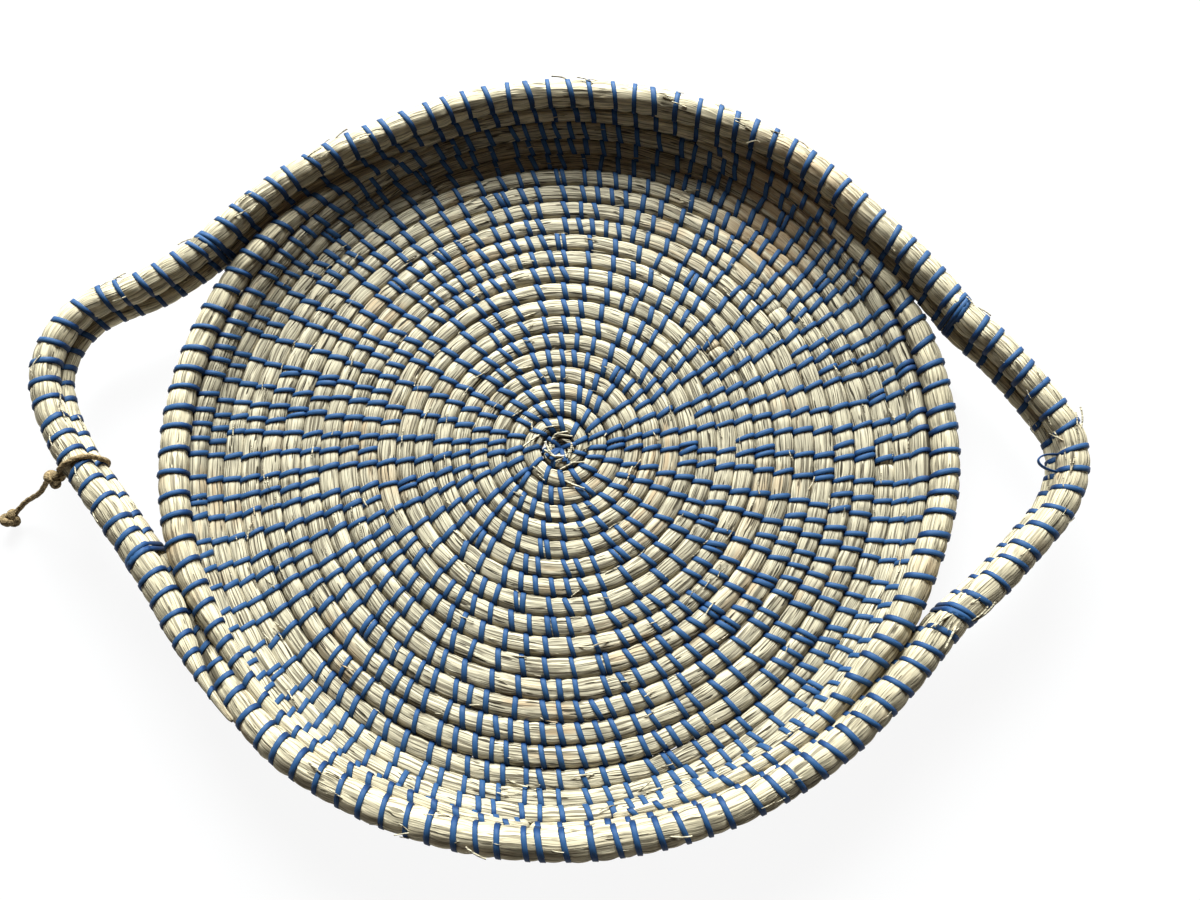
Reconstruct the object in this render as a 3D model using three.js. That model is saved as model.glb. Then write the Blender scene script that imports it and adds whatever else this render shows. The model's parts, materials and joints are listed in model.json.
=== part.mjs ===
// Round coiled seagrass tray with two loop handles.
// One bundle of seagrass winds outwards as the floor, climbs as a low flared wall, and its
// last two courses leave the wall on both sides as handles. Millimetres, +Z up, feet on z = 0.
import * as THREE from "three";

// Floor and wall coil
const START_RADIUS = 5.8;
const START_HALF_WIDTH = 2.9;
const PITCH_AT_START = 9.05;
const PITCH_GROWTH = 0.092;
const FLOOR_TURNS = 16.5;
const BEND_START_TURN = 16.4;
const BEND_TURNS = 2;
const WALL_PITCH = 10.0;
const WALL_LEAN = THREE.MathUtils.degToRad(52);
const WALL_END_TURN = 19.25;
const LAST_TURN_AT_RIGHT = WALL_END_TURN - 0.75;
const CLIMB_SWAY = 0.155;
const SWAY_START_TURN = 10;
const COIL_GAP = 0.5;
const WALL_COIL_HALF_WIDTH = 4.7;
const REST_SHARE = 0.8;
const TUCK_HEIGHT = 6.4;
const TUCK_CLEARANCE = 0.45;
const TUCK_END_TURN = 0.98;

// Top coil: the second course, then the rim, both running out round the handles
const RIM_OVAL = 13.0;
const NEAR_RIM_ARC = [213, 327];
const FAR_RIM_ARC = [33, 128];
const RIM_RADIUS = 6.8;
const SECOND_RADIUS = 4.6;
const SECOND_INSET = 4.4;
const COURSE_GAP = 0.35;
const TOP_RISE = 1.8;
const CLIMB_START = 0.845;
const CLIMB_END = 0.915;
const TOP_TURNS = 1.862;
const SPLICE_LENGTH = 0.05;
const SPLICE_TIP_RADIUS = 2.2;

// Handle outlines, as points of the rim's centre line seen from above
const RIGHT_HANDLE = [
  [191.7, -84.6],
  [212.1, -65.2],
  [227.7, -47.5],
  [244.3, -27.1],
  [252.1, -8.0],
  [251.9, 9.0],
  [244.2, 24.2],
  [220.0, 55.3],
  [204.1, 71.1],
  [187.0, 93.0],
];
const LEFT_HANDLE = [
  [-153.7, 136.0],
  [-173.5, 117.1],
  [-194.6, 92.8],
  [-219.2, 72.2],
  [-250.7, 55.6],
  [-262.7, 39.2],
  [-266.1, 19.7],
  [-260.8, 2.0],
  [-244.5, -23.9],
  [-225.9, -44.4],
  [-194.8, -79.5],
  [-180.7, -97.0],
];

// Side rims: the thick bundles that edge the body under each handle, in degrees from their middle
const SIDE_RIM_RADIUS = 6.5;
const SIDE_RIM_THIN_RADIUS = 2.6;
const SIDE_RIM_TIP_RADIUS = 1.9;
const SIDE_RIM_FULL_SPAN = 22;
const SIDE_RIM_THIN_SPAN = 48;
const SIDE_RIM_TIP_SPAN = 10;
const SIDE_RIM_LEANS = [22, 62];
const SIDE_RIM_MOST_LEAN = 130;
const RIGHT_SIDE_RIM = { offset: -3.3, span: [-66, 66], leanTurn: [9, -18] };
const LEFT_SIDE_RIM = { offset: 0, span: [-52, 85], leanTurn: [-22, 28] };

// Lashings, loose strip loop and string
const LASHING_LENGTH = 8;
const LASHING_THICKNESS = 1.3;
const LASHING_CLEARANCE = 0.45;
const LASHING_FADE = 8;
const LASHING_ANGLES = {
  lashing_near_right: -22.3,
  lashing_far_right: 20.8,
  lashing_far_left: 153.6,
  lashing_near_left: 200.7,
};
const STRIP_RADIUS = 1.1;
const STRIP_LOOP_ANGLE = -1;
const STRIP_LOOP_RADIUS = 4.5;
const STRIP_LOOP_STAND_OFF = 0.8;
const STRING_RADIUS = 1.4;
const STRING_ANGLE = 186.9;
const STRING_KNOT_RADIUS = 5.2;
const STRING_END_KNOT_RADIUS = 5.4;
const STRING_TAIL = [
  [-256.6, -37.4, 26.5],
  [-264.2, -41.5, 18.0],
  [-275.0, -45.2, 10.5],
  [-279.6, -48.6, 7.4],
];
const STRING_TAIL_END = [-283.8, -53.4, 5.7];
const SEAT_GAP = 0.3;

// Mesh fineness
const STEPS_PER_TURN = 24;
const TOP_STEPS_PER_TURN = 96;
const TOP_STATION_STEP = 2;
const COIL_SIDES = 6;
const RIM_SIDES = 8;
const STRING_SIDES = 8;

const seagrass = new THREE.MeshStandardMaterial({ color: 0xc8bc94, roughness: 0.8, metalness: 0 });
const strip = new THREE.MeshStandardMaterial({ color: 0x2f5aa8, roughness: 0.35, metalness: 0 });
const jute = new THREE.MeshStandardMaterial({ color: 0x8d7852, roughness: 0.9, metalness: 0 });

const mix = THREE.MathUtils.lerp;
const clamp01 = (x) => THREE.MathUtils.clamp(x, 0, 1);

// A closed body from equal rings of points, its first and last ring filled by flat caps.
function bodyFromRings(rings) {
  const sides = rings[0].length;
  const positions = rings.flat().flatMap((point) => point.toArray());
  const index = [];
  for (let i = 0; i + 1 < rings.length; i += 1) {
    for (let j = 0; j < sides; j += 1) {
      const a = i * sides + j;
      const b = i * sides + ((j + 1) % sides);
      index.push(a, a + sides, b + sides, a, b + sides, b);
    }
  }
  const last = (rings.length - 1) * sides;
  for (let j = 1; j + 1 < sides; j += 1) {
    index.push(0, j, j + 1);
    index.push(last, last + j + 1, last + j);
  }
  const geometry = new THREE.BufferGeometry();
  geometry.setAttribute("position", new THREE.Float32BufferAttribute(positions, 3));
  geometry.setIndex(index);
  return geometry;
}

// One ring of a coil: centre, outward direction in plan, half width, and how deep it is cut flat below.
function coilRing(centre, outward, half, sides, lowShare = 1) {
  const ring = [];
  for (let j = 0; j < sides; j += 1) {
    const angle = (j / sides) * 2 * Math.PI;
    const rise = Math.max(Math.sin(angle), -lowShare) * half;
    ring.push(
      centre
        .clone()
        .addScaledVector(outward, Math.cos(angle) * half)
        .add(new THREE.Vector3(0, 0, rise)),
    );
  }
  return ring;
}

// The least distance between points of the same coil that lie half a turn or more apart.
function leastGap(rings, stepsPerTurn) {
  let least = Infinity;
  rings.forEach((ring, i) => {
    const from = i + Math.floor(stepsPerTurn / 2);
    const to = Math.min(rings.length, i + Math.ceil(stepsPerTurn * 1.5));
    for (let k = from; k < to; k += 1) {
      for (const p of ring) {
        for (const q of rings[k]) least = Math.min(least, p.distanceTo(q));
      }
    }
  });
  return least;
}

function addCoil(group, name, rings, stepsPerTurn) {
  const mesh = new THREE.Mesh(bodyFromRings(rings), seagrass);
  mesh.name = name;
  group.add(mesh);
  console.log(name + ": least gap to itself " + leastGap(rings, stepsPerTurn).toFixed(2) + " mm");
}

// The floor and wall coil. A turn count of n.5 points along +X, n.25 along -Y.
const turnAngle = (turn) => (turn - 0.5) * 2 * Math.PI;

// The coil climbs mostly on the left side, so near and far walls end up equally high.
function climbTurn(turn) {
  const sway = CLIMB_SWAY * clamp01((turn - SWAY_START_TURN) / (FLOOR_TURNS - SWAY_START_TURN));
  return turn + sway * Math.sin(2 * Math.PI * turn);
}

function coilProfile(turn) {
  const climb = climbTurn(turn);
  const floor = Math.min(climb, BEND_START_TURN);
  const bendRate = WALL_LEAN / BEND_TURNS;
  const bendRadius = WALL_PITCH / bendRate;
  const bent = THREE.MathUtils.clamp(climb - BEND_START_TURN, 0, BEND_TURNS);
  const straight = Math.max(climb - BEND_START_TURN - BEND_TURNS, 0) * WALL_PITCH;
  return {
    radius:
      START_RADIUS +
      PITCH_AT_START * floor +
      0.5 * PITCH_GROWTH * floor * floor +
      bendRadius * Math.sin(bendRate * bent) +
      straight * Math.cos(WALL_LEAN),
    height:
      REST_SHARE * WALL_COIL_HALF_WIDTH +
      bendRadius * (1 - Math.cos(bendRate * bent)) +
      straight * Math.sin(WALL_LEAN),
  };
}

function coilHalfWidth(turn) {
  const here = coilProfile(turn);
  const apart = (there) => Math.hypot(there.radius - here.radius, there.height - here.height);
  const outer = apart(coilProfile(turn + 1));
  const inner = turn > 1 ? apart(coilProfile(turn - 1)) : outer;
  const full = Math.min((Math.min(outer, inner) - COIL_GAP) / 2, WALL_COIL_HALF_WIDTH);
  return mix(START_HALF_WIDTH, full, clamp01(turn));
}

function coilStation(turn) {
  const angle = turnAngle(turn);
  const outward = new THREE.Vector3(Math.cos(angle), Math.sin(angle), 0);
  const half = coilHalfWidth(turn);
  const { radius, height } = coilProfile(turn);
  const centre = outward.clone().multiplyScalar(radius);
  centre.z = height - REST_SHARE * (WALL_COIL_HALF_WIDTH - half);
  return { centre, outward, half };
}

// A stretch of the coil from one turn count to another, with half of the seat gap left off each end.
function coilRings(fromTurn, toTurn) {
  const backOff = (turn) => SEAT_GAP / 2 / (2 * Math.PI * coilProfile(turn).radius);
  const first = fromTurn > 0 ? fromTurn + backOff(fromTurn) : fromTurn;
  const turns = [first];
  for (let k = Math.floor(fromTurn * STEPS_PER_TURN) + 1; k < toTurn * STEPS_PER_TURN; k += 1) {
    turns.push(k / STEPS_PER_TURN);
  }
  turns.push(toTurn - backOff(toTurn));
  return turns.map((turn) => {
    const { centre, outward, half } = coilStation(turn);
    return coilRing(centre, outward, half, COIL_SIDES, REST_SHARE);
  });
}

// The tucked start of the bundle: it fills the middle of the first turn.
function startTuck() {
  const shape = new THREE.Shape();
  const steps = 16;
  for (let k = 0; k <= steps; k += 1) {
    const turn = (k / steps) * TUCK_END_TURN;
    const { centre, outward, half } = coilStation(turn);
    const point = centre.addScaledVector(outward, -half - TUCK_CLEARANCE);
    if (k === 0) shape.moveTo(point.x, point.y);
    else shape.lineTo(point.x, point.y);
  }
  shape.closePath();
  return new THREE.ExtrudeGeometry(shape, { depth: TUCK_HEIGHT, bevelEnabled: false, steps: 1 });
}

// The second course carries on from the wall coil's end, and the rim rests on it.
const wallEnd = coilProfile(WALL_END_TURN);
const rimHalfWidth = wallEnd.radius + SECOND_INSET;
const rimHalfLength = rimHalfWidth + RIM_OVAL;
const secondHeight = wallEnd.height + COURSE_GAP;
const courseReach = SECOND_RADIUS + RIM_RADIUS + COURSE_GAP;
const rimHeight = secondHeight + Math.sqrt(courseReach ** 2 - SECOND_INSET ** 2);

// The rim's centre line in plan: two elliptical arcs joined by the handle outlines, from the near middle.
function rimOutline() {
  const arc = (from, to) => {
    const points = [];
    for (let k = 0; k <= 4; k += 1) {
      const angle = THREE.MathUtils.degToRad(mix(from, to, k / 4));
      const c = Math.cos(angle);
      const s = Math.sin(angle);
      const radius = 1 / Math.hypot(c / rimHalfLength, s / rimHalfWidth);
      points.push([radius * c, radius * s]);
    }
    return points;
  };
  const [nearStart, nearEnd] = NEAR_RIM_ARC;
  const points = [
    ...arc(270, nearEnd),
    ...RIGHT_HANDLE,
    ...arc(...FAR_RIM_ARC),
    ...LEFT_HANDLE,
    ...arc(nearStart, 270).slice(0, -1),
  ];
  const corners = points.map(([x, y]) => new THREE.Vector3(x, y, 0));
  return new THREE.CatmullRomCurve3(corners, true, "centripetal");
}

const outline = rimOutline();
outline.arcLengthDivisions = 800;
const outlineLength = outline.getLength();

function outlineStation(place) {
  const u = ((place % 1) + 1) % 1;
  const point = outline.getPointAt(u);
  const along = outline.getTangentAt(u);
  const outward = new THREE.Vector3(along.y, -along.x, 0).normalize();
  return { point, along, outward };
}

// The place on the outline whose direction from the centre is nearest to an angle in degrees.
function placeAtAngle(degrees) {
  const angle = THREE.MathUtils.degToRad(degrees);
  const away = (place) => {
    const { x, y } = outline.getPointAt(place);
    return 1 - (x * Math.cos(angle) + y * Math.sin(angle)) / Math.hypot(x, y);
  };
  let best = 0;
  for (let k = 1; k < 2000; k += 1) if (away(k / 2000) < away(best)) best = k / 2000;
  return best;
}

// Centre and radius of the top coil at a place, counted in turns from the near middle.
function topCoilAt(place) {
  const { point, along, outward } = outlineStation(place);
  const climbed = clamp01((place - CLIMB_START) / (CLIMB_END - CLIMB_START));
  const spliced = clamp01((place - TOP_TURNS + SPLICE_LENGTH) / SPLICE_LENGTH);
  const full = mix(SECOND_RADIUS, RIM_RADIUS, climbed);
  const radius = mix(full, SPLICE_TIP_RADIUS, spliced);
  const inset = mix(SECOND_INSET, 0, climbed);
  const lift = TOP_RISE * clamp01((place % 1) * 2) * (climbed > 0 && place < 1 ? 1 - climbed : 1);
  const centre = point.clone().addScaledVector(outward, -inset);
  centre.z = mix(secondHeight, rimHeight, climbed) + lift + (full - radius) * 0.6;
  return { centre, outward, along, radius };
}

function topRings() {
  const first = SEAT_GAP / 2 / outlineLength;
  const places = [first];
  for (let k = 1; k < TOP_TURNS * TOP_STEPS_PER_TURN; k += 1) places.push(k / TOP_STEPS_PER_TURN);
  places.push(TOP_TURNS);
  return places.map((place) => {
    const { centre, outward, radius } = topCoilAt(place);
    return coilRing(centre, outward, radius, RIM_SIDES);
  });
}

// Stations of the top coil with the room that each needs round it, more of it near a lashing.
function topStations() {
  const lashingPlaces = Object.values(LASHING_ANGLES).map(placeAtAngle);
  const room = LASHING_CLEARANCE + LASHING_THICKNESS;
  const stations = [];
  for (let place = 0; place <= TOP_TURNS; place += TOP_STATION_STEP / outlineLength) {
    const { centre, radius } = topCoilAt(place);
    const away = Math.min(...lashingPlaces.map((at) => Math.abs((place % 1) - at))) * outlineLength;
    const near = clamp01((LASHING_LENGTH / 2 + 2 * LASHING_FADE - away) / LASHING_FADE);
    stations.push({ centre, needs: radius + SEAT_GAP + room * near });
  }
  return stations;
}

// A side rim rests on the wall coil's last turn and leans inwards as far as the top coil makes it.
function sideRimRings({ offset: middleOffset, span, leanTurn }, lashings) {
  const middle = (lashings[0] + lashings[1]) / 2 + middleOffset;
  const above = topStations();
  const step = 360 / STEPS_PER_TURN / 2;
  const steps = Math.round((span[1] - span[0]) / step);
  const rings = [];
  for (let k = 0; k <= steps; k += 1) {
    const offset = mix(span[0], span[1], k / steps);
    const fromThin = SIDE_RIM_THIN_SPAN - Math.abs(offset);
    const full = THREE.MathUtils.smoothstep(fromThin, 0, SIDE_RIM_THIN_SPAN - SIDE_RIM_FULL_SPAN);
    const fromTip = Math.min(offset - span[0], span[1] - offset) / SIDE_RIM_TIP_SPAN;
    const thin = mix(SIDE_RIM_TIP_RADIUS, SIDE_RIM_THIN_RADIUS, clamp01(fromTip));
    const radius = mix(thin, SIDE_RIM_RADIUS, full);
    const turned = clamp01((offset - leanTurn[0]) / (leanTurn[1] - leanTurn[0]));
    const freeLean = mix(...SIDE_RIM_LEANS, THREE.MathUtils.smoothstep(turned, 0, 1));
    const { centre: seat, outward, half } = coilStation(LAST_TURN_AT_RIGHT + (middle + offset) / 360);
    const reach = half + radius + SEAT_GAP;
    const leaning = (lean) => {
      const angle = THREE.MathUtils.degToRad(lean);
      const centre = seat.clone().addScaledVector(outward, Math.cos(angle) * reach);
      return centre.setZ(seat.z + Math.sin(angle) * reach);
    };
    const clear = (centre) =>
      above.every((station) => station.centre.distanceTo(centre) >= station.needs + radius);
    let lean = freeLean;
    while (lean < SIDE_RIM_MOST_LEAN && !clear(leaning(lean))) lean += 1;
    rings.push(coilRing(leaning(lean), outward, radius, RIM_SIDES));
  }
  return rings;
}

// Outline round the second course and the rim at a place on a handle, grown by some clearance.
function handleSection(place, grow, steps) {
  const lower = topCoilAt(place);
  const upper = topCoilAt(place + 1);
  const across = new THREE.Vector3().subVectors(lower.centre, upper.centre).dot(upper.outward);
  const circles = [
    { x: 0, z: upper.centre.z, radius: upper.radius + grow },
    { x: across, z: lower.centre.z, radius: lower.radius + grow },
  ];
  const points = [];
  for (let j = 0; j < steps; j += 1) {
    const angle = (j / steps) * 2 * Math.PI;
    const reach = (c) => c.x * Math.cos(angle) + c.z * Math.sin(angle) + c.radius;
    const widest = reach(circles[0]) > reach(circles[1]) ? circles[0] : circles[1];
    points.push(
      new THREE.Vector2(
        widest.x + widest.radius * Math.cos(angle),
        widest.z + widest.radius * Math.sin(angle),
      ),
    );
  }
  return { points, base: upper };
}

// Places plan-and-height geometry of a handle section on the handle: X outward, Y up, Z back along it.
function setOnHandle(mesh, base) {
  const basis = new THREE.Matrix4().makeBasis(
    base.outward,
    new THREE.Vector3(0, 0, 1),
    new THREE.Vector3().crossVectors(base.outward, new THREE.Vector3(0, 0, 1)),
  );
  mesh.quaternion.setFromRotationMatrix(basis);
  mesh.position.set(base.centre.x, base.centre.y, 0);
}

function lashing(place) {
  const inner = handleSection(place, LASHING_CLEARANCE, 24);
  const outer = handleSection(place, LASHING_CLEARANCE + LASHING_THICKNESS, 24);
  const shape = new THREE.Shape(outer.points);
  shape.holes.push(new THREE.Path(inner.points));
  const geometry = new THREE.ExtrudeGeometry(shape, {
    depth: LASHING_LENGTH,
    bevelEnabled: false,
    steps: 1,
  });
  geometry.translate(0, 0, -LASHING_LENGTH / 2);
  const mesh = new THREE.Mesh(geometry, strip);
  setOnHandle(mesh, inner.base);
  return mesh;
}

// Rings square to a route through the points, carried along it without twisting.
function tubeRings(points, radius, sides, spacing) {
  const curve = new THREE.CatmullRomCurve3(points, false, "centripetal");
  const steps = Math.max(2, Math.round(curve.getLength() / spacing));
  const rings = [];
  let side = new THREE.Vector3(0, 0, 1);
  for (let i = 0; i <= steps; i += 1) {
    const along = curve.getTangentAt(i / steps);
    if (i === 0 && Math.abs(along.z) > 0.9) side.set(1, 0, 0);
    side = side.clone().addScaledVector(along, -side.dot(along)).normalize();
    const across = new THREE.Vector3().crossVectors(side, along);
    const ring = [];
    for (let j = 0; j < sides; j += 1) {
      const angle = (j / sides) * 2 * Math.PI;
      ring.push(
        curve
          .getPointAt(i / steps)
          .addScaledVector(side, Math.cos(angle) * radius)
          .addScaledVector(across, Math.sin(angle) * radius),
      );
    }
    rings.push(ring);
  }
  return rings;
}

// A point of a handle section in space.
function onHandle(point, base) {
  return base.centre
    .clone()
    .setZ(0)
    .addScaledVector(base.outward, point.x)
    .add(new THREE.Vector3(0, 0, point.y));
}

function knot(centre, radius) {
  const mesh = new THREE.Mesh(new THREE.SphereGeometry(radius, 10, 8), jute);
  mesh.position.copy(centre);
  return mesh;
}

// The string's turn round a handle: from the knot over the top, down the inside and back below.
function stringLoop() {
  const place = placeAtAngle(STRING_ANGLE);
  const reach = LASHING_CLEARANCE + STRING_RADIUS;
  const { points, base } = handleSection(place, reach, 24);
  const knotReach = base.radius + SEAT_GAP + STRING_KNOT_RADIUS;
  const knotCentre = onHandle(new THREE.Vector2(knotReach, base.centre.z), base);
  const touching = (point) =>
    onHandle(point, base).distanceTo(knotCentre) < STRING_KNOT_RADIUS + SEAT_GAP + STRING_RADIUS;
  const route = points.filter((point) => !touching(point)).map((point) => onHandle(point, base));
  return { knotCentre, rings: tubeRings(route, STRING_RADIUS, STRING_SIDES, 3 * STRING_RADIUS) };
}

// The loose end of the strip: a small loop whose two feet stand on the handle's inner side.
function stripLoop() {
  const place = placeAtAngle(STRIP_LOOP_ANGLE) + 1;
  const r = STRIP_LOOP_RADIUS;
  const off = (along, out) => {
    const at = topCoilAt(place + along / outlineLength);
    return at.centre.addScaledVector(at.outward, -(at.radius + STRIP_LOOP_STAND_OFF + out));
  };
  const route = [off(-r, 0), off(-r, 2 * STRIP_RADIUS)];
  for (let a = 30; a < 180; a += 30) {
    const angle = THREE.MathUtils.degToRad(a);
    route.push(off(-r * Math.cos(angle), 2 * STRIP_RADIUS + r * Math.sin(angle)));
  }
  route.push(off(r, 2 * STRIP_RADIUS), off(r, 0));
  return tubeRings(route, STRIP_RADIUS, STRING_SIDES, 3 * STRIP_RADIUS);
}

const tray = new THREE.Group();
const woven = new THREE.Group();
tray.add(woven);
addCoil(woven, "floor_coil", coilRings(0, FLOOR_TURNS), STEPS_PER_TURN);
addCoil(woven, "wall_coil", coilRings(FLOOR_TURNS, WALL_END_TURN), STEPS_PER_TURN);
addCoil(woven, "top_coil", topRings(), TOP_STEPS_PER_TURN);

const tuck = new THREE.Mesh(startTuck(), seagrass);
tuck.name = "start_tuck";
woven.add(tuck);

const rootAngles = (...names) => names.map((name) => LASHING_ANGLES[name]);
const sideRims = {
  side_rim_right: sideRimRings(
    RIGHT_SIDE_RIM,
    rootAngles("lashing_near_right", "lashing_far_right"),
  ),
  side_rim_left: sideRimRings(LEFT_SIDE_RIM, rootAngles("lashing_far_left", "lashing_near_left")),
};
for (const [name, rings] of Object.entries(sideRims)) {
  const mesh = new THREE.Mesh(bodyFromRings(rings), seagrass);
  mesh.name = name;
  woven.add(mesh);
}

for (const [name, angle] of Object.entries(LASHING_ANGLES)) {
  const mesh = lashing(placeAtAngle(angle));
  mesh.name = name;
  woven.add(mesh);
}

const loose = new THREE.Mesh(bodyFromRings(stripLoop()), strip);
loose.name = "strip_loop";
woven.add(loose);

const { knotCentre, rings: loopRings } = stringLoop();
const tailEnd = new THREE.Vector3(...STRING_TAIL_END);
const tailPoints = STRING_TAIL.map((point) => new THREE.Vector3(...point));
const meet = (centre, radius, towards) =>
  centre.clone().addScaledVector(towards.clone().sub(centre).normalize(), radius + SEAT_GAP);
const tailRoute = [
  meet(knotCentre, STRING_KNOT_RADIUS, tailPoints[0]),
  ...tailPoints,
  meet(tailEnd, STRING_END_KNOT_RADIUS, tailPoints[tailPoints.length - 1]),
];
const stringPieces = {
  string_loop: new THREE.Mesh(bodyFromRings(loopRings), jute),
  string_knot: knot(knotCentre, STRING_KNOT_RADIUS),
  string_tail: new THREE.Mesh(
    bodyFromRings(tubeRings(tailRoute, STRING_RADIUS, STRING_SIDES, 5 * STRING_RADIUS)),
    jute,
  ),
  string_end_knot: knot(tailEnd, STRING_END_KNOT_RADIUS),
};
const string = new THREE.Group();
for (const [name, mesh] of Object.entries(stringPieces)) {
  mesh.name = name;
  string.add(mesh);
}
tray.add(string);

// The part's own origin: middle of the woven tray's box in plan, feet on z = 0.
tray.updateMatrixWorld(true);
const box = new THREE.Box3().setFromObject(woven, true);
const middle = box.getCenter(new THREE.Vector3());
tray.position.set(-middle.x, -middle.y, -box.min.z);

export default tray;
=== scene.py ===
import functools
import json
import math

import bmesh
import bpy
import numpy as np
from bpy.props import FloatProperty, FloatVectorProperty, IntProperty, PointerProperty
from mathutils import Euler, Matrix, Vector

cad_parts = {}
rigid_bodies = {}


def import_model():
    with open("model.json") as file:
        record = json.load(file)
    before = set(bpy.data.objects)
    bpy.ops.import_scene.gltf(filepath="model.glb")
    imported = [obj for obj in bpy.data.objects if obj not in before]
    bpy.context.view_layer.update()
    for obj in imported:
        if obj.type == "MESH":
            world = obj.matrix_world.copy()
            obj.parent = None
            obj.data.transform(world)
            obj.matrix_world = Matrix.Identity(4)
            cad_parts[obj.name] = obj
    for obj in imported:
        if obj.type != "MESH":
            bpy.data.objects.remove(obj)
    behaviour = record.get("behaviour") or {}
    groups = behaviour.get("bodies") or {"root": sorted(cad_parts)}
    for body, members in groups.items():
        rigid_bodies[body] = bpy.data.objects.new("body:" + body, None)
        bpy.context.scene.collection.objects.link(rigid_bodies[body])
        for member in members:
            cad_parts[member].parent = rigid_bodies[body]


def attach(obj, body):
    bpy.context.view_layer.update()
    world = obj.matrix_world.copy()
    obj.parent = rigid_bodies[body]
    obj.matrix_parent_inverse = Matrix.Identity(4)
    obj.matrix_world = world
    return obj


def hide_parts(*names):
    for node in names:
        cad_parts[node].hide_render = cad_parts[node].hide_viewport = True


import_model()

bl_info = {
    "name": "Coiled Seagrass Tray",
    "version": (1, 0, 0),
    "blender": (4, 5, 0),
    "location": "View3D > Sidebar > Tray",
    "description": "Builds a round coiled seagrass tray with strip stitching and two loop handles",
    "category": "Object",
}

MM = 0.001
TAU = 2 * math.pi
UP = np.array([0.0, 0.0, 1.0])

# The tray's middle against the floor spiral's middle, as in the CAD source
SHIFT = np.array([6.5, 0.026, 0.0])

# Floor and wall coil, in millimetres and turns
START_RADIUS = 5.8
START_HALF_WIDTH = 2.9
PITCH_AT_START = 9.05
PITCH_GROWTH = 0.092
FLOOR_TURNS = 16.5
BEND_START_TURN = 16.4
BEND_TURNS = 2.0
WALL_PITCH = 10.0
WALL_LEAN = math.radians(52)
WALL_END_TURN = 19.25
CLIMB_SWAY = 0.155
SWAY_START_TURN = 10.0
COIL_GAP = 0.5
WALL_COIL_HALF_WIDTH = 4.7
REST_SHARE = 0.8
FULLER_START = 0.5
PRESS = 0.12
STRAW_FOOT = 0.7
STITCH_FOOT = 0.9

# How square the pressed bundles are: 2 is round
COIL_SQUARE = 2.7
RIM_SQUARE = 2.2

# Second course and rim
RIM_OVAL = 13.0
RIM_RADIUS = 6.8
SECOND_RADIUS = 4.6
SECOND_INSET = 4.4
COURSE_GAP = 0.35
TOP_RISE = 1.8
CLIMB_START = 0.845
CLIMB_END = 0.915
TOP_TURNS = 1.862
TAPER_START = 1.838
TAPER_END = 1.892
RIM_TAPER_RADIUS = 0.9
NEAR_RIM_ARC = (213, 327)
FAR_RIM_ARC = (33, 128)
RIGHT_HANDLE = [
    (191.7, -84.6), (212.1, -65.2), (227.7, -47.5), (244.3, -27.1), (252.1, -8.0),
    (251.9, 9.0), (244.2, 24.2), (220.0, 55.3), (204.1, 71.1), (187.0, 93.0),
]
LEFT_HANDLE = [
    (-153.7, 136.0), (-173.5, 117.1), (-194.6, 92.8), (-219.2, 72.2), (-250.7, 55.6),
    (-262.7, 39.2), (-266.1, 19.7), (-260.8, 2.0), (-244.5, -23.9), (-225.9, -44.4),
    (-194.8, -79.5), (-180.7, -97.0),
]

# Side rims
SIDE_RIM_RADIUS = 6.5
SIDE_RIM_THIN_RADIUS = 2.6
SIDE_RIM_TIP_RADIUS = 1.9
SIDE_RIM_FULL_SPAN = 22
SIDE_RIM_THIN_SPAN = 48
SIDE_RIM_TIP_SPAN = 10
SIDE_RIM_LEANS = (22, 62)
SIDE_RIM_MOST_LEAN = 130
SIDE_RIM_TAIL = 8
SIDE_RIMS = {
    "right": dict(middle=-4.05, span=(-66, 66), lean_turn=(9, -18)),
    "left": dict(middle=177.15, span=(-52, 85), lean_turn=(-22, 28)),
}
SIDE_RIM_SEED = 41

# Lashings at the handle roots and the loose loop of strip
LASHING_ANGLES = {
    "lashing_near_right": -22.3,
    "lashing_far_right": 20.8,
    "lashing_far_left": 153.6,
    "lashing_near_left": 200.7,
}
SEAT_GAP = 0.3
LASHING_LENGTH = 8
LASHING_THICKNESS = 1.3
LASHING_CLEARANCE = 0.45
LASHING_FADE = 8
LASHING_SECTION = (-1, 1, 0.9, 0, -0.9)
LASHING_STEPS = 40
STRIP_LOOP_ANGLE = -1.0
STRIP_LOOP_RADIUS = 4.5
STRIP_LOOP_STAND_OFF = 0.8

# Relief of a full bundle, in millimetres: length along it, width round it, height
STRAW = (48, 1.5, 0.26)
FIBRE = (21, 0.95, 0.12)
LUMP = (26, 1.3, 0.13)
CRACK = (16, 1.2, -0.42)
TWIST = (55, 0.9)
SWELL = 0.17
END_LENGTH = 2.5
STITCH_DRAW = 0.5
STITCH_REACH = 2.0
TANGLE = 1.4
TANGLE_REACH = 130

# Stitches: their spacing in the middle and past its first turns, then on the rim and the side rims
STITCH_SPACING = (6.6, 10.9)
STITCH_CLOSE_TURNS = 7.0
TOP_STITCH_SPACING = 11.0
SIDE_STITCH_SPACING = 11.2
STITCH_YAW = 0.07
STITCH_PROUD = 0.3
RIM_STRIP_WIDER = 1.05

# Tufts of straw ends on the rim: angle in degrees, spread in millimetres, number
TUFTS = [(-23.2, 4.0, 9), (1.5, 7.0, 6), (254.0, 3.0, 2), (262.0, 3.0, 2)]

# A darker warm brown patch on the wall, in metres
WARM_PATCH_PLACE = (0.118, 0.135, 0.022)

# Painted light on the rims: how much paler their straw is painted, per colour channel, where they face up and
# outward into the light
RIM_PAINTED_LIGHT = (1.14, 1.12, 1.08)

# Tucked start: straws that fold in from the first turn and dive in the middle, on a flat pad
START_STRAWS = 22
START_STRAW_TURN = 16.4
START_REACH = (5.2, 9.0)
START_HEIGHT = (6.2, 7.9)
START_DIVE = 2.6
PAD_REACH = 7.8
PAD_RADIUS = 8.0
PAD_FOOT = 1.1
PAD_FLATNESS = 0.12

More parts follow.
